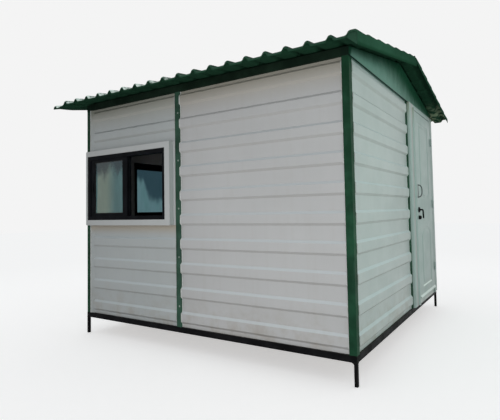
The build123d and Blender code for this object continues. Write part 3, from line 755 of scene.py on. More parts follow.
@dataclass
class Walls:
    """Ribbed panels between their posts, with sealant, closers at the left corner and screws in the middle posts."""

    half_length: float = 1.525
    half_depth: float = 1.41
    base_top: float = 0.218
    wall_top: float = 2.388
    post_width: float = 0.06
    crest_setback: float = 0.001
    rib_depth: float = 0.016
    rib_pitch: float = 0.223
    rib_start: float = 0.031
    rib_width: float = 0.11
    rib_bevel: float = 0.02
    rib_count: int = 10
    bead: float = 0.0055
    closer: float = 0.05
    closer_root: float = 0.004
    closer_rise: float = 0.0003
    screw_radius: float = 0.0065
    screw_row: float = 0.157
    screw_offset: float = 0.009
    screw_sides: int = 14

    panels = (
        "front_panel_right", "front_panel_below_window", "front_panel_above_window", "back_panel_left",
        "back_panel_right", "left_panel_front", "left_panel_back", "right_panel",
    )
    closed_at_left = ("front_panel_below_window", "front_panel_above_window")
    posts = (
        "front_left_post", "front_right_post", "back_left_post", "back_right_post", "front_middle_post",
        "back_middle_post", "left_middle_post", "door_post",
    )
    outward = {"front": (0, -1), "back": (0, 1), "left": (-1, 0), "right": (1, 0)}

    # Place along the wall and out of it of each point of a bead, in beads, and whether it follows a closer.
    bead_profile = ((-0.3, -0.5, 0), (1, -0.5, 0), (1, 0.12, 1), (0.62, 0.62, 1), (0.12, 1, 1), (-0.3, 1, 1))
    # Share of the radius, and height, of each ring of a screw's head.
    screw_profile = ((1.35, -0.001), (1.35, 0.001), (1.0, 0.0015), (0.9, 0.0035), (0.5, 0.0046))

    def skin_line(self, low: float, high: float) -> list[Pair]:
        """Outer skin of a panel in section, between two heights.

        Args:
            low: lowest height.
            high: highest height.

        Returns:
            Height of each bend and its distance behind the wall's face.
        """
        crest, valley = self.crest_setback, self.crest_setback + self.rib_depth
        line = [(self.base_top, valley)]
        for number in range(self.rib_count):
            foot = self.base_top + self.rib_start + number * self.rib_pitch
            top = foot + self.rib_width
            line += [(foot, valley), (foot + self.rib_bevel, crest), (top - self.rib_bevel, crest), (top, valley)]
        line.append((self.wall_top, valley))
        first, last = (min(max(limit, self.base_top), self.wall_top) for limit in (low, high))
        between = [point for point in line if low < point[0] < high]
        return [(first, read_off(line, first)), *between, (last, read_off(line, last))]

    def sealant(self, panel: str) -> None:
        """Runs a bead of sealant up both ends of a panel.

        Args:
            panel: node of the panel.
        """
        low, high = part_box(panel)
        outward = self.outward[panel.split("_")[0]]
        axis = 0 if outward[0] == 0 else 1
        face = self.half_depth if axis == 0 else self.half_length
        draft = MeshDraft()
        for end, inward in ((low[axis], 1), (high[axis], -1)):
            closed = panel in self.closed_at_left and inward > 0
            rings = []
            for height, behind in self.skin_line(low.z, high.z):
                ring = []
                fill = (behind - self.crest_setback) / self.bead if closed else 0
                for along, out, filled in self.bead_profile:
                    across = end + inward * along * self.bead
                    reach = face - behind + (out + filled * fill) * self.bead
                    x, y = (across, outward[1] * reach) if axis == 0 else (outward[0] * reach, across)
                    ring.append(Vector((x, y, height)))
                rings.append(ring)
            draft.skin(rings)
        draft.piece(f"{panel}_sealant", Finish.SEALANT, Body.CABIN, "wall_white")

    def closers(self) -> None:
        """Closes the valleys beside the left corner post with a slope from the crests' level."""
        draft = MeshDraft()
        for panel in self.closed_at_left:
            low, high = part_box(panel)
            rings = []
            for height, behind in self.skin_line(low.z, high.z):
                crest, here = self.half_depth - self.crest_setback, self.half_depth - behind
                root = here - self.closer_root
                profile = (
                    (0.0, root), (0.0, crest), (self.bead, crest), (self.closer, here + self.closer_rise),
                    (self.closer, root),
                )
                rings.append([Vector((low.x + along, -reach, height)) for along, reach in profile])
            draft.skin(rings)
        draft.piece("front_panel_closers", Finish.AGED, Body.CABIN, "wall_white")

    def screws(self, wall: str) -> None:
        """Sets a row of pan-head screws in a wall's middle post, one for every second rib.

        Args:
            wall: name of the wall.
        """
        post = f"{wall}_middle_post"
        x, y = self.outward[wall]
        outward, along = Vector((x, y, 0)), Vector((-y, x, 0))
        low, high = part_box(post)
        middle = (low + high) / 2
        draft = MeshDraft()
        r = self.screw_radius
        for number in range(0, self.rib_count - 1, 2):
            height = self.base_top + self.rib_start + self.screw_row + number * self.rib_pitch
            seat = Vector((middle.x, middle.y, height)) + outward * self.post_width / 2 + along * self.screw_offset
            draft.turned(seat, outward, [(r * wide, rise) for wide, rise in self.screw_profile], self.screw_sides)
        draft.piece(f"{post}_screws", Finish.SCREW, Body.CABIN, "post_green")

    def build(self) -> None:
        """Dresses the panels and posts and adds their trims."""
        dress(Finish.WALL, *(panel for panel in self.panels if panel not in self.closed_at_left))
        dress(Finish.AGED, *self.closed_at_left)
        dress(Finish.POST, *self.posts)
        dress(Finish.WORN, "front_middle_post")
        for panel in self.panels:
            self.sealant(panel)
        self.closers()
        for wall in ("front", "back", "left"):
            self.screws(wall)


@dataclass
class BaseFrame:
    """Black base rails on four legs, with weld beads and gussets at the joints, and the floor on top."""

    leg: float = 0.025
    gusset: Pair = (0.05, 0.032)
    gusset_thickness: float = 0.005
    gusset_steps: int = 8
    overlap: float = 0.001
    weld_radius: float = 0.0045
    weld_steps: int = 9
    weld_sides: int = 8
    weld_swell: Pair = (0.75, 1.15)
    seed: int = 7

    def welds(self) -> None:
        """Lays a lumpy weld round the top of each leg."""
        noise = random.Random(self.seed)
        low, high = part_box("legs")
        size = self.leg
        draft = MeshDraft()
        for x, y in product((low.x, high.x - size), (low.y, high.y - size)):
            corners = [(x, y), (x + size, y), (x + size, y + size), (x, y + size)]
            for (ax, ay), (bx, by) in zip(corners, corners[1:] + corners[:1]):
                path, radii = [], []
                for step in range(self.weld_steps + 1):
                    t = step / self.weld_steps
                    path.append(Vector((ax + (bx - ax) * t, ay + (by - ay) * t, high.z)))
                    swell = self.weld_radius * noise.uniform(*self.weld_swell)
                    radii.append((swell, swell))
                draft.tube(path, radii, self.weld_sides)
        draft.piece("leg_welds", Finish.BASE, Body.CABIN, "base_black")

    def gussets(self) -> None:
        """Fits a hollow-edged corner plate between each leg and the two rails over it."""
        low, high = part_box("legs")
        draft = MeshDraft()
        run, drop = self.gusset
        outline = [(0.0, 0.0), (run, 0.0)]
        for step in range(1, self.gusset_steps):
            turn = math.pi / 2 * step / self.gusset_steps
            outline.append((run * (1 - math.sin(turn)), drop * (math.cos(turn) - 1)))
        outline.append((0.0, -drop))
        ends = ((low.x, 1), (high.x, -1)), ((low.y, 1), (high.y, -1))
        for (x, way_x), (y, way_y), along_x in product(*ends, (True, False)):
            rings = []
            for share in (0.5, -0.5):
                across = self.leg / 2 + share * self.gusset_thickness
                ring = []
                for away, down in outline:
                    reach = self.leg - self.overlap + away
                    out = (reach, across) if along_x else (across, reach)
                    ring.append(Vector((x + way_x * out[0], y + way_y * out[1], high.z + self.overlap + down)))
                rings.append(ring)
            draft.skin(rings)
        draft.piece("leg_gussets", Finish.BASE, Body.CABIN, "base_black")

    def build(self) -> None:
        """Dresses the base and adds its welds and gussets."""
        dress(Finish.BASE, "base_long_rails", "base_cross_rails", "legs", "floor_joists")
        dress(Finish.FLOOR, "floor_board")
        self.welds()
        self.gussets()


class Wall(Enum):
    """Walls that have a window, each with the turn that brings a window from the front wall into it."""

    FRONT = Matrix.Identity(3)
    LEFT = Matrix.Rotation(math.radians(-90), 3, "Z")


@dataclass
class Windows:
    """White hoods with black windows: gaskets, seals, a finger pull, interlock strips and weep covers."""

    gasket: float = 0.006
    gasket_lip: float = 0.0008
    seal: float = 0.004
    seal_lip: float = 0.0002
    pull_length: float = 0.11
    pull_width: float = 0.016
    pull_proud: float = 0.006
    pull_inset: float = 0.03
    pull_edge: float = 0.0025
    interlock: float = 0.006
    sash_inset: float = 0.004
    sash_edge: float = 0.0015
    weep_width: float = 0.03
    weep_height: float = 0.006
    weep_rise: float = 0.014
    weep_proud: float = 0.003
    weep_edge: float = 0.0012
    weep_shares: Pair = (0.2, 0.8)
    overlap: float = 0.001

    def panes(self) -> list[tuple[Vector, Vector, Wall]]:
        """Box of each pane and the wall that it is in, read from the node of all panes.

        Returns:
            Lowest corner, highest corner and wall of each pane.
        """
        points = [vertex.co.copy() for vertex in frame["nodes"]["window_panes"].data.vertices]
        inner_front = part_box("window_sash_inner")[0].y
        in_side = [p for p in points if p.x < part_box("window_frame")[0].x]
        in_front = [p for p in points if p not in in_side]
        outer = [p for p in in_front if p.y < inner_front]
        inner = [p for p in in_front if p.y >= inner_front]
        boxes = []
        for group, wall in ((outer, Wall.FRONT), (inner, Wall.FRONT), (in_side, Wall.LEFT)):
            low = Vector([min(p[axis] for p in group) for axis in range(3)])
            high = Vector([max(p[axis] for p in group) for axis in range(3)])
            boxes.append((low, high, wall))
        return boxes

    @staticmethod
    def into(draft: MeshDraft, start: int, wall: Wall) -> None:
        """Turns the newest points of a draft from the front wall into another wall.

        Args:
            draft: the draft.
            start: first of the points.
            wall: the wall.
        """
        draft.points[start:] = [wall.value @ point for point in draft.points[start:]]

    @staticmethod
    def as_front(low: Vector, high: Vector, wall: Wall) -> tuple[Vector, Vector]:
        """Corners of a box as they are when its wall is turned to the front.

        Args:
            low: lowest corner.
            high: highest corner.
            wall: the wall.

        Returns:
            Lowest and highest corner in front of the viewer.
        """
        back = wall.value.transposed()
        a, b = back @ low, back @ high
        return Vector(map(min, a, b)), Vector(map(max, a, b))

    def gaskets(self) -> None:
        """Runs a rubber gasket round both faces of each pane."""
        draft = MeshDraft()
        g = self.gasket
        for low, high, wall in self.panes():
            low, high = self.as_front(low, high, wall)
            start = len(draft.points)
            for y, out in ((low.y, -1), (high.y, 1)):
                root, thin = -self.overlap, self.gasket_lip
                profile = [
                    (root, y), (root, y + out * g * 0.9), (g * 0.35, y + out * g * 0.7), (g, y + out * thin), (g, y),
                ]
                draft.moulding((low.x, low.z), (high.x, high.z), profile)
            self.into(draft, start, wall)
        draft.piece("window_gaskets", Finish.RUBBER, Body.CABIN, "window_black")

    def frame_seals(self) -> None:
        """Runs a rubber seal between each window frame and its hood."""
        draft = MeshDraft()
        s = self.seal
        for node, wall in (("window_frame", Wall.FRONT), ("side_window_frame", Wall.LEFT)):
            low, high = self.as_front(*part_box(node), wall)
            start = len(draft.points)
            y = low.y
            root = -self.overlap
            profile = [(root, y + s), (root, y - s), (s * 0.3, y - s * 0.6), (s, y - self.seal_lip), (s, y + s)]
            draft.moulding((low.x, low.z), (high.x, high.z), profile)
            self.into(draft, start, wall)
        draft.piece("window_frame_seals", Finish.RUBBER, Body.CABIN, "window_black")

    def fittings(self) -> None:
        """Sets a finger pull and interlock strips on the sashes and weep covers in the frame."""
        draft = MeshDraft()
        outer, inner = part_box("window_sash_outer"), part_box("window_sash_inner")
        middle = (outer[0].z + outer[1].z) / 2
        half = self.pull_width / 2
        x = outer[0].x + self.pull_inset
        low = (x - half, outer[0].y - self.pull_proud, middle - self.pull_length / 2)
        draft.bar(low, (x + half, outer[0].y + self.overlap, middle + self.pull_length / 2), self.pull_edge)
        inset = self.sash_inset
        for sash in (outer, inner):
            edge = sash[1].x
            low = (edge - self.interlock, sash[0].y + inset, sash[0].z + inset)
            draft.bar(low, (edge + self.interlock / 2, sash[1].y - inset, sash[1].z - inset), self.sash_edge)
        frame_low, frame_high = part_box("window_frame")
        z = frame_low.z + self.weep_rise
        for share in self.weep_shares:
            x = frame_low.x + share * (frame_high.x - frame_low.x)
            low = (x - self.weep_width / 2, frame_low.y - self.weep_proud, z - self.weep_height / 2)
            high = (x + self.weep_width / 2, frame_low.y + self.overlap, z + self.weep_height / 2)
            draft.bar(low, high, self.weep_edge)
        draft.piece("window_fittings", Finish.WINDOW, Body.CABIN, "window_black")

    def build(self) -> None:
        """Dresses the windows and adds their fittings."""
        dress(Finish.HOOD, "window_surround", "side_window_surround")
        dress(Finish.WINDOW, "window_frame", "window_sash_outer", "window_sash_inner", "side_window_frame")
        dress(Finish.GLASS, "window_panes")
        self.gaskets()
        self.frame_seals()
        self.fittings()


@dataclass
class CabinDoor:
    """Embossed door with its frame, cover strips, seal, hinge caps, pull and lever lock."""

    leaf_face: float = 1.559
    leaf_back: float = 1.515
    latch_y: float = 0.464
    lever_z: float = 1.237
    cylinder_z: float = 1.153
    rose_radius: float = 0.029
    rose_height: float = 0.014
    guard_height: float = 0.026
    lever_reach: float = 0.044
    lever_length: float = 0.1
    lever_droop: float = math.radians(68)
    pull_low: float = 1.368
    pull_high: float = 1.515
    pull_reach: float = 0.042
    plate: Pair = (0.018, 0.0032)
    pull_radius: float = 0.0062
    pull_steps: int = 28
    pull_bow: float = 0.65
    hinge_radius: float = 0.008
    strip_width: float = 0.072
    strip_proud: float = 0.003
    post_face: float = 1.525
    lever_lean: float = 0.004
    lever_turn: float = 0.014
    neck_points: int = 6
    guard_share: float = 0.75
    foot_inset: float = 0.008
    foot: Pair = (0.0105, 0.006)
    seal_back: float = 0.0069
    seal_thickness: float = 0.0045
    seal_reach: float = 0.0055
    seal_lap: float = 0.006
    edge_cut: float = 0.0012
    round_sides: int = 18
    rose_sides: int = 28
    key_sides: int = 24
    slot_depths: Pair = (0.0028, 0.0036)
    slot_half: Pair = (0.001, 0.004)
    slot_edge: float = 0.0002
    turn_steps: int = 8
    sharp: float = 50.0

    # Radii of a lever's neck and end, and share along it and radii of its grip.
    neck = (0.009, 0.009)
    grip = ((0.3, 0.0098, 0.0075), (0.6, 0.0104, 0.0076), (0.85, 0.0106, 0.0074), (0.95, 0.0096, 0.0068))
    lever_end = (0.007, 0.006)
    # Share of the radius and of the height of each ring of a rose.
    rose_profile = ((1.0, -0.02), (1.0, 0.45), (0.96, 0.7), (0.86, 0.9), (0.7, 1.0))
    # Radius and height of each ring of the key cylinder, and whether it stands on the guard.
    key_profile = ((0.0095, 0.0, 0), (0.0095, 0.0015, 1), (0.0085, 0.003, 1), (0.006, 0.003, 1))
    # Share of the radius, and height, of each ring of a hinge pin's head.
    cap_profile = ((0.94, -0.001), (0.94, 0.0015), (0.7, 0.0035), (0.35, 0.0045))

    def rose(self, draft: MeshDraft, seat: Vector, outward: Vector, radius: float, height: float) -> None:
        """Adds a domed rose.

        Args:
            draft: mesh that it goes into.
            seat: middle of its foot.
            outward: the way it faces.
            radius: its radius.
            height: its height.
        """
        draft.turned(seat, outward, [(radius * r, height * h) for r, h in self.rose_profile], self.rose_sides)

    def levers(self) -> None:
        """Makes the levers and the cylinder ends on both sides of the leaf."""
        draft = MeshDraft()
        for face, way in ((self.leaf_face, 1), (self.leaf_back, -1)):
            outward = Vector((way, 0, 0))
            seat = Vector((face, self.latch_y, self.lever_z))
            self.rose(draft, seat, outward, self.rose_radius, self.rose_height)
            corner = seat + outward * self.lever_reach
            drop = Vector((0, math.cos(self.lever_droop), -math.sin(self.lever_droop)))
            tip = corner + drop * self.lever_length - outward * self.lever_lean
            path = rounded([seat, corner, tip], self.lever_turn, self.turn_steps)
            radii = [self.neck if i < self.neck_points else self.grip[0][1:] for i in range(len(path) - 1)]
            path[-1:] = [path[-2].lerp(tip, share) for share, _, _ in self.grip] + [tip]
            radii += [(wide, thick) for _, wide, thick in self.grip] + [self.lever_end]
            draft.tube(path, radii, self.round_sides)
            key = Vector((face, self.latch_y, self.cylinder_z))
            guard = self.guard_height
            self.rose(draft, key, outward, self.rose_radius * self.guard_share, guard)
            rings = [(radius, proud + guard * raised) for radius, proud, raised in self.key_profile]
            draft.turned(key, outward, rings, self.key_sides)
            near, far = sorted(face + way * (guard + proud) for proud in self.slot_depths)
            wide, tall = self.slot_half
            low = (near, self.latch_y - wide, self.cylinder_z - tall)
            draft.bar(low, (far, self.latch_y + wide, self.cylinder_z + tall), self.slot_edge)
        levers = draft.piece("door_levers", Finish.LOCK, Body.DOOR, "lock_black")
        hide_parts("door_lever_lock")

    def pull(self) -> None:
        """Bends a round bar to the pull handle and seats it on two feet."""
        draft = MeshDraft()
        low = Vector((self.leaf_face, self.latch_y, self.pull_low + self.foot_inset))
        high = Vector((self.leaf_face, self.latch_y, self.pull_high - self.foot_inset))
        middle, half = (low + high) / 2, (high - low) / 2
        path = []
        for step in range(self.pull_steps + 1):
            turn = math.pi * step / self.pull_steps
            out = self.pull_reach * math.sin(turn) ** self.pull_bow
            path.append(middle - half * math.cos(turn) + Vector((out, 0, 0)))
        draft.tube(path, [(self.pull_radius, self.pull_radius)] * len(path), self.round_sides)
        wide, thick = self.plate
        corner = (self.leaf_face - 0.0005, self.latch_y - wide / 2, self.pull_low)
        draft.bar(corner, (self.leaf_face + thick, self.latch_y + wide / 2, self.pull_high), self.edge_cut)
        for foot in (low, high):
            self.rose(draft, foot, Vector((1, 0, 0)), *self.foot)
        bar = draft.piece("door_pull_bar", Finish.STEEL, Body.DOOR, "pull_steel")
        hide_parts("door_pull")

    def cover_strips(self) -> None:
        """Covers the joint of each jamb and its post, and the corner of the raised lip, with folded strips."""
        draft = MeshDraft()
        low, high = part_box("door_jamb_latch_side")
        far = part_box("door_jamb_hinge_side")[1].y
        lip_low, lip_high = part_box("door_lip")
        post, jamb, wide = self.post_face, high.x, self.strip_width
        face = jamb + self.strip_proud
        strip = [
            (post - 0.002, -0.008), (post + 0.001, -0.008), (post + 0.012, -0.003), (face - 0.002, 0.0005),
            (face, 0.003), (face, wide - 0.003), (face - 0.001, wide - 0.0008), (jamb, wide),
            (jamb - 0.001, wide), (jamb - 0.001, 0.0), (post - 0.002, 0.0),
        ]
        cove = [
            (jamb - 0.001, -0.012), (jamb + 0.001, -0.012), (jamb + 0.006, -0.006), (lip_high.x - 0.001, 0.0),
            (jamb - 0.001, 0.001),
        ]
        for section, start, end, top in (
            (strip, low.y, far, high.z - 0.008), (cove, lip_low.y, lip_high.y, lip_high.z),
        ):
            for origin, way in ((start, 1), (end, -1)):
                draft.skin([[Vector((x, origin + way * y, z)) for x, y in section] for z in (low.z + 0.001, top)])
        draft.piece("door_cover_strips", Finish.DOOR, Body.CABIN, "door_white", self.sharp)

    def hinge_caps(self) -> None:
        """Closes each hinge barrel with a pin head."""
        for node, body, ends in (("door_hinges_on_leaf", Body.DOOR, 1), ("door_hinges_on_frame", Body.CABIN, -1)):
            heights = sorted({round(v.co.z, 4) for v in frame["nodes"][node].data.vertices})
            edges = heights[1::2] if ends > 0 else heights[0::2]
            joint = frame["joints"][0]["pos_m"]
            draft = MeshDraft()
            r = self.hinge_radius
            for height in edges:
                seat = Vector((joint[0], joint[1], height))
                rings = [(r * wide, rise) for wide, rise in self.cap_profile]
                draft.turned(seat, Vector((0, 0, ends)), rings, self.round_sides)
            draft.piece(f"{node}_caps", Finish.DOOR, body, "door_white")

    def seal(self) -> None:
        """Sets a rubber seal on the stop behind the leaf."""
        low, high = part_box("door_leaf")
        back, reach, lap = low.x - self.seal_back, self.seal_reach, self.seal_lap
        front = back + self.seal_thickness
        top = high.z + 0.001
        draft = MeshDraft()
        for y0, y1 in ((low.y - reach, low.y + lap), (high.y - lap, high.y + reach)):
            draft.bar((back, y0, low.z), (front, y1, top), self.edge_cut)
        draft.bar((back, low.y, top - lap), (front, high.y, top + self.seal_thickness), self.edge_cut)
        draft.piece("door_seal", Finish.SEAL, Body.CABIN, "door_white")

    def build(self) -> None:
        """Dresses the door and adds its fittings."""
        dress(Finish.FRAME, "door_jamb_latch_side", "door_jamb_hinge_side")
        dress(Finish.DOOR, "door_head", "door_lip", "door_leaf")
        dress(Finish.DOOR, "door_hinges_on_frame", "door_hinges_on_leaf")
        dress(Finish.SILL, "door_sill")
        dress(Finish.BAR, "door_weather_bar")
        self.levers()
        self.pull()
        self.cover_strips()
        self.hinge_caps()
        self.seal()


@dataclass
class TileRoof:
    """Two stepped tile sheets with folded rakes, a closed verge end, ridge cap and screws, and gables and beams."""

    half_span: float = 1.685
    slope: float = 0.33 / 1.685
    pan_at_ridge: float = 2.733
    ridge_gap: float = 0.005
    wave_count: int = 19
    crest_half_length: float = 1.675
    wave_height: float = 0.03
    wave_half_width: float = 0.042
    flank_angle: float = math.radians(58)
    arc_steps: int = 4
    course_count: int = 7
    step_height: float = 0.013
    sheet_thickness: float = 0.0014
    eave_lip: float = 0.02
    rake_snip: float = 0.16
    rake_drop: float = 0.098
    left_drop: float = 0.06
    back_drop: float = 0.056
    corner_bend: float = 0.027
    bend_width: float = 0.17
    bend_length: float = 0.4
    verge_width: float = 0.03
    verge_inset: float = 0.006
    rake_radius: float = 0.022
    snip_share: float = 0.8
    bent_fold: float = 0.42
    cap_wing: float = 0.14
    cap_roll: float = 0.03
    cap_rise: float = 0.003
    cap_lift: float = 0.012
    cap_past: float = 0.006
    cap_thickness: float = 0.0016
    cap_steps: int = 6
    cap_bays: int = 28
    drip_proud: float = 0.006
    drip_half: float = 0.005
    drip_inset: float = 0.002
    drip_edge: float = 0.0015
    sharp: float = 40.0
    screw_sharp: float = 25.0
    screw_sides: int = 12
    overlap: float = 0.001
    fold_break: Pair = (0.6, 0.45)
    screw_rows: tuple[float, ...] = (0.2, 0.72, 1.38)

    # Share of a course and of the step's height of each line across it.
    course_profile = (
        (0.0, 0.0), (0.12, 0.16), (0.4, 0.42), (0.7, 0.74), (0.86, 0.95), (0.92, 1.0), (0.955, 0.86), (0.975, 0.45),
    )
    # Inset from the eave, and fall, of each line of its rounded edge.
    eave_profile = ((0.012, 0.0), (0.006, 0.0015), (0.002, 0.0045), (0.0, 0.009))
    # Place out and up of each fold of the ridge cap's hem.
    cap_hem = ((-0.006, -0.004), (0.0, -0.003), (0.0, 0.002), (-0.004, 0.004))
    # Radius and height of each ring of a roofing screw with its washer.
    screw_profile = (
        (0.009, -0.002), (0.009, 0.0012), (0.0075, 0.0022), (0.0052, 0.0024), (0.0052, 0.0068), (0.0042, 0.0076),
    )

    def wave_side(self) -> list[Pair]:
        """Half a wave, from its crest to its foot, as distance from the crest and height.

        Returns:
            Points of an arc, a straight flank and an arc.
        """
        angle = self.flank_angle
        radius = (self.wave_half_width * math.tan(angle) - self.wave_height) / (2 / math.cos(angle) - 2)
        turns = [angle * step / self.arc_steps for step in range(self.arc_steps + 1)]
        upper = [(radius * math.sin(t), self.wave_height - radius * (1 - math.cos(t))) for t in turns]
        lower = [(self.wave_half_width - radius * math.sin(t), radius * (1 - math.cos(t))) for t in reversed(turns)]
        return upper + lower

    def section(self) -> list[tuple[float, float, float]]:
        """Section of the sheet along the eave.

        Returns:
            x, height over the flats, and the share of the tile step that shows there.
        """
        half = self.wave_side()
        pitch = 2 * self.crest_half_length / self.wave_count
        line: list[tuple[float, float, float]] = []
        for number in range(self.wave_count + 1):
            crest = -self.crest_half_length + number * pitch
            if number:
                roll = self.verge_width if number == self.wave_count else 0.0
                line += [(crest - roll - d, h, 1.0) for d, h in reversed(half)]
            if number < self.wave_count:
                line += [(crest + d, h, 1.0) for d, h in half[0 if number == 0 else 1:]]
        line.append((self.crest_half_length, self.wave_height, 1.0))
        fold = []
        for step in range(1, self.arc_steps + 1):
            turn = math.pi / 2 * step / self.arc_steps
            lift = self.rake_radius * (1 - math.cos(turn))
            fold.append((self.rake_radius * math.sin(turn), self.wave_height - lift, 1.0))
        down, shown = self.fold_break
        fold.append((self.rake_radius, self.wave_height - down * self.rake_drop, shown))
        fold.append((self.rake_radius, self.wave_height - self.rake_drop, 0.0))
        left = [(-self.crest_half_length - d, h, s) for d, h, s in reversed(fold)]
        right = [(self.crest_half_length + d, h, s) for d, h, s in fold]
        return left + line + right

    def courses(self) -> list[Pair]:
        """Lines across the sheet from the ridge to the eave.

        Returns:
            Distance from the ridge line and rise of the tile step at each line.
        """
        course = self.half_span / self.course_count
        lines = []
        for number in range(self.course_count):
            lines += [((number + t) * course, rise * self.step_height) for t, rise in self.course_profile]
        lines = [(max(self.ridge_gap, y), rise) for y, rise in lines[:-2]]
        for inset, drop in (*self.eave_profile, (0.0, self.eave_lip)):
            lines.append((self.half_span - inset, self.step_height - drop))
        return lines

    def height_at(self, x: float, height: float, y: float, side: int) -> float:
        """Height of a point of the section, with shallower or snipped rakes and the front left corner bent down.

        Args:
            x: its place along the eave.
            height: its height elsewhere.
            y: its distance from the ridge line.
            side: -1 for the front slope and 1 for the back one.

        Returns:
            Its height there.
        """
        bend = self.bend_at(x, y, side)
        if x >= -self.crest_half_length:
            return max(height, self.wave_height - self.back_drop) if side > 0 else height - bend
        into_snip = max(0.0, y - self.half_span + self.rake_snip) / self.rake_snip
        drop = max(bend + self.bent_fold * self.left_drop, self.left_drop * (1 - self.snip_share * into_snip))
        return max(height - bend, self.wave_height - drop)

    def bend_at(self, x: float, y: float, side: int) -> float:
        """How far the front left corner is bent down at a point.

        Args:
            x: its place along the eave.
            y: its distance from the ridge line.
            side: -1 for the front slope and 1 for the back one.

        Returns:
            The fall.
        """
        across = (self.bend_width - self.crest_half_length - x) / self.bend_width
        along = (y - self.half_span + self.bend_length) / self.bend_length
        if side > 0 or across <= 0 or along <= 0:
            return 0.0
        return self.corner_bend * min(1.0, across) * along

    def sheet(self, side: int, node: str) -> None:
        """Presses one tile sheet.

        Args:
            side: -1 for the front slope and 1 for the back one.
            node: node that the sheet stands for.
        """
        section = self.section()
        rings = []
        for y, rise in self.courses():
            base = self.pan_at_ridge - self.slope * y
            heights = [base + self.height_at(x, h, y, side) + rise * share for x, h, share in section]
            rings.append([Vector((x, side * y, z)) for (x, _, _), z in zip(section, heights)])
        draft = MeshDraft()
        draft.skin(rings, open_rings=True)
        draft.faces = [face if side > 0 else face[::-1] for face in draft.faces]
        sheet = draft.piece(f"{node}_tiles", Finish.ROOF, Body.CABIN, "roof_green", self.sharp)
        self.thicken(sheet, self.sheet_thickness)
        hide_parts(node)

    @staticmethod
    def thicken(sheet: bpy.types.Object, thickness: float) -> None:
        """Turns a sheet's faces up and gives it its thickness downwards.

        Args:
            sheet: the sheet.
            thickness: its thickness.
        """
        if sum(face.normal.z for face in sheet.data.polygons) < 0:
            sheet.data.flip_normals()
        solid = sheet.modifiers.new("thickness", "SOLIDIFY")
        solid.thickness = thickness
        solid.offset = -1.0

    def verge_end(self) -> None:
        """Closes the hollow under the right verge where it ends at the front eave."""
        foot = self.crest_half_length - self.verge_width - self.wave_half_width
        away = self.half_span - self.verge_inset
        base = self.pan_at_ridge - self.slope * away - self.sheet_thickness / 2
        edge = self.crest_half_length + self.rake_radius - self.sheet_thickness / 2
        verge = [point for point in self.section() if point[0] > foot - self.overlap]
        outline = [(min(x, edge), base + h + self.step_height * share) for x, h, share in verge]
        draft = MeshDraft()
        draft.skin([[Vector((x, -y, z)) for x, z in outline] for y in (away, away - self.sheet_thickness)])
        draft.piece("roof_verge_end", Finish.ROOF, Body.CABIN, "roof_green", self.sharp)

    def ridge_cap(self) -> None:
        """Folds the ridge cap, with a low roll along its top and hems at its edges."""
        crest = self.pan_at_ridge + self.wave_height
        wing_low = crest - self.slope * self.cap_wing
        wing, roll, steps = self.cap_wing, self.cap_roll, self.cap_steps
        line = [(wing + out, wing_low + up) for out, up in self.cap_hem]
        for step in range(steps + 1):
            turn = math.pi / 2 * step / steps
            fall = self.slope * roll * (1 - step / steps)
            line.append((roll * math.cos(turn), crest + self.cap_rise - fall + self.cap_lift * math.sin(turn)))
        outer = line + [(-y, z) for y, z in reversed(line[:-1])]
        draft = MeshDraft()
        reach = self.crest_half_length + self.cap_past
        xs = [-reach + 2 * reach * bay / self.cap_bays for bay in range(self.cap_bays + 1)]
        draft.skin([[Vector((x, y, z)) for y, z in outer] for x in xs], open_rings=True)
        cap = draft.piece("ridge_cap_folded", Finish.ROOF, Body.CABIN, "roof_green", self.sharp)
        self.thicken(cap, self.cap_thickness)
        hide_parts("ridge_cap")

    def screws(self) -> None:
        """Sets roofing screws with washers in every second crest, over the beams below."""
        pitch = 2 * self.crest_half_length / self.wave_count
        courses = self.courses()
        for side, place in ((-1, "front"), (1, "back")):
            normal = Vector((0, side * self.slope, 1)).normalized()
            draft = MeshDraft()
            for number in range(0, self.wave_count + 1, 2):
                x = -self.crest_half_length + number * pitch
                for y in self.screw_rows:
                    z = self.pan_at_ridge - self.slope * y + self.wave_height + read_off(courses, y)
                    seat = Vector((x, side * y, z))
                    draft.turned(seat, normal, self.screw_profile, self.screw_sides)
            draft.piece(f"roof_screws_{place}", Finish.SCREW, Body.CABIN, "roof_green", self.screw_sharp)

    def drips(self) -> None:
        """Adds the drip strip along the foot of each gable, near black as a painted shadow line."""
        draft = MeshDraft()
        for node, way in (("left_gable_panel", -1), ("right_gable_panel", 1)):
            low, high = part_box(node)
            face = low.x if way < 0 else high.x
            near, far = sorted((face - way * self.overlap, face + way * self.drip_proud))
            foot = (near, low.y + self.drip_inset, low.z - self.drip_half)
            draft.bar(foot, (far, high.y - self.drip_inset, low.z + self.drip_half), self.drip_edge)
        draft.piece("gable_drips", Finish.DRIP, Body.CABIN, "gable_green")

    def build(self) -> None:
        """Dresses the gables and beams and builds the roof's sheets and trims."""
        dress(Finish.GABLE, "left_gable_panel", "right_gable_panel")
        dress(Finish.BEAM, "roof_beams")
        self.sheet(-1, "front_roof_sheet")
        self.sheet(1, "back_roof_sheet")
        self.verge_end()
        self.ridge_cap()
        self.screws()
        self.drips()


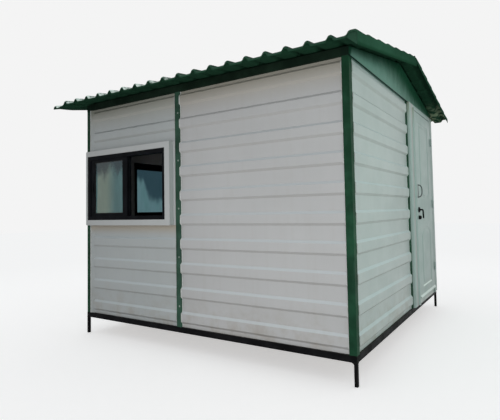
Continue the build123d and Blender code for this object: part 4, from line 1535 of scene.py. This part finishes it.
@dataclass
class Studio:
    """Pale floor, soft light and the camera of the photograph."""

    image_width: int = 500
    image_height: int = 420
    focal_px: float = 424.42
    centre_px: Pair = (281.44, 191.29)
    place: Point = (2.64615, -4.29438, 1.26296)
    yaw: float = math.radians(-30.734)
    pitch: float = math.radians(2.555)
    roll: float = math.radians(1.207)
    backdrop: float = 0.905
    sky: float = 0.5
    floor_albedo: float = 0.86
    floor_glow: float = 0.035
    floor_size: float = 60.0
    box_size: Pair = (2.0, 2.2)
    top_size: Pair = (6.0, 6.0)
    sky_colour: Colour = (0.97, 0.99, 1.0)
    glow_reach: Pair = (3.5, 9.0)
    unlit: bpy.types.Collection | None = None

    # Name, place, the way that it shines, power in watts and colour of each soft box.
    soft_boxes = (
        ("front_box", (1.0, -3.9, 1.15), (0, 1, 0), 37, (1.0, 0.99, 0.99)),
        ("right_box", (4.3, -1.0, 1.8), (-1, 0, 0), 41, (0.62, 1.0, 0.86)),
        ("corner_box", (3.9, -3.4, 1.3), (-0.75, 0.66, 0), 14, (0.9, 1.0, 0.96)),
        ("top_box", (0.0, 0.0, 6.0), (0, 0, -1), 85, (0.98, 1.0, 1.0)),
        ("back_box", (0.0, 4.3, 1.2), (0, -1, 0), 40, (1.0, 1.0, 1.0)),
        ("left_box", (-4.4, 0.0, 1.2), (1, 0, 0), 40, (1.0, 1.0, 1.0)),
    )

    def camera(self) -> None:
        """Sets up the camera."""
        forward = Vector((
            math.sin(self.yaw) * math.cos(self.pitch), math.cos(self.yaw) * math.cos(self.pitch), math.sin(self.pitch),
        ))
        right = Vector((math.cos(self.yaw), -math.sin(self.yaw), 0))
        down = forward.cross(right)
        level, upright = right.copy(), down.copy()
        right = level * math.cos(self.roll) + upright * math.sin(self.roll)
        down = upright * math.cos(self.roll) - level * math.sin(self.roll)
        data = bpy.data.cameras.new("camera")
        data.sensor_fit = "HORIZONTAL"
        data.sensor_width = 36.0
        data.lens = self.focal_px / self.image_width * data.sensor_width
        data.shift_x = (self.image_width / 2 - self.centre_px[0]) / self.image_width
        data.shift_y = (self.centre_px[1] - self.image_height / 2) / self.image_width
        data.clip_end = 200
        camera = bpy.data.objects.new("camera", data)
        bpy.context.scene.collection.objects.link(camera)
        turn = Matrix((right, -down, -forward)).transposed()
        camera.matrix_world = Matrix.Translation(self.place) @ turn.to_4x4()
        bpy.context.scene.camera = camera

    def world(self) -> None:
        """Lights the scene evenly and shows a pale backdrop to the camera, mirrors and glass."""
        world = bpy.data.worlds.new("studio")
        bpy.context.scene.world = world
        world.use_nodes = True
        nodes, links = world.node_tree.nodes, world.node_tree.links
        nodes.clear()
        seen = self.seen(nodes, links)
        light, backdrop = nodes.new("ShaderNodeBackground"), nodes.new("ShaderNodeBackground")
        light.inputs["Color"].default_value = (*self.sky_colour, 1)
        light.inputs["Strength"].default_value = self.sky
        backdrop.inputs["Color"].default_value = (self.backdrop, self.backdrop, self.backdrop, 1)
        mix = nodes.new("ShaderNodeMixShader")
        output = nodes.new("ShaderNodeOutputWorld")
        links.new(seen, mix.inputs[0])
        links.new(light.outputs[0], mix.inputs[1])
        links.new(backdrop.outputs[0], mix.inputs[2])
        links.new(mix.outputs[0], output.inputs[0])

    @staticmethod
    def seen(nodes: bpy.types.Nodes, links: bpy.types.NodeLinks) -> Socket:
        """Mask of the rays that show the pale set: camera rays, mirror rays and rays through glass.

        Args:
            nodes: nodes of the tree.
            links: its links.

        Returns:
            The mask.
        """
        path = nodes.new("ShaderNodeLightPath")
        mask = path.outputs["Is Camera Ray"]
        for name in ("Is Glossy Ray", "Is Transmission Ray"):
            either = nodes.new("ShaderNodeMath")
            either.operation = "MAXIMUM"
            links.new(mask, either.inputs[0])
            links.new(path.outputs[name], either.inputs[1])
            mask = either.outputs[0]
        return mask

    def soft_box(self, name: str, place: Point, toward: Point, power: float, colour: Colour) -> None:
        """Adds a soft box that lights the cabin and leaves the floor alone.

        Args:
            name: name of the lamp.
            place: where it stands.
            toward: the way that it shines.
            power: its power in watts.
            colour: its colour.
        """
        data = bpy.data.lights.new(name, "AREA")
        data.shape = "RECTANGLE"
        data.size, data.size_y = self.top_size if toward[2] < 0 else self.box_size
        data.energy = power
        data.color = colour
        lamp = bpy.data.objects.new(name, data)
        lamp.location = place
        lamp.rotation_euler = Vector(toward).to_track_quat("-Z", "Y").to_euler()
        lamp.visible_camera = False
        lamp.visible_glossy = False
        bpy.context.scene.collection.objects.link(lamp)
        lamp.light_linking.receiver_collection = self.unlit
        self.unlit.collection_objects[0].light_linking.link_state = "EXCLUDE"

    def floor(self) -> None:
        """Lays the pale floor, as pale as the backdrop where nothing shades it."""
        bpy.ops.mesh.primitive_grid_add(x_subdivisions=12, y_subdivisions=12, size=self.floor_size)
        floor = bpy.context.object
        floor.name = "studio_floor"
        pale = (self.floor_albedo,) * 3
        sketch = NodeSketch("studio_floor", pale, Specular_IOR_Level=0.0, Emission_Color=(1.0, 1.0, 1.0))
        sketch.layer(toned(pale, 0.995), sketch.noise(0.4, 3))
        away = sketch.nodes.new("ShaderNodeVectorMath")
        away.operation = "LENGTH"
        sketch.links.new(sketch.place, away.inputs[0])
        even = self.backdrop - self.floor_albedo * self.sky
        # Extra glow of floor_glow within glow_reach: painted light that lifts the cabin's soft shadow on the floor
        # near it.
        level = sketch.ramp(away.outputs["Value"], *self.glow_reach, even + self.floor_glow, even)
        glow = sketch.times(self.seen(sketch.nodes, sketch.links), level)
        sketch.links.new(glow, sketch.shader.inputs["Emission Strength"])
        floor.data.materials.append(sketch.finish(sketch.ramp(sketch.noise(2, 2), 0.0, 1.0, 0.9, 1.0)))
        self.unlit = bpy.data.collections.new("floor_only")
        self.unlit.objects.link(floor)

    def build(self) -> None:
        """Sets up camera, light and floor."""
        bpy.context.scene.view_settings.view_transform = "Standard"
        self.camera()
        self.world()
        self.floor()
        for box in self.soft_boxes:
            self.soft_box(*box)


def main() -> None:
    """Builds the studio and the sub-assemblies in order."""
    logging.basicConfig(level=logging.INFO, format="%(name)s: %(message)s")
    for assembly in (Studio(), BaseFrame(), Walls(), Windows(), CabinDoor(), TileRoof()):
        log.info("building %s", type(assembly).__name__)
        assembly.build()


if __name__ == "__main__":
    main()
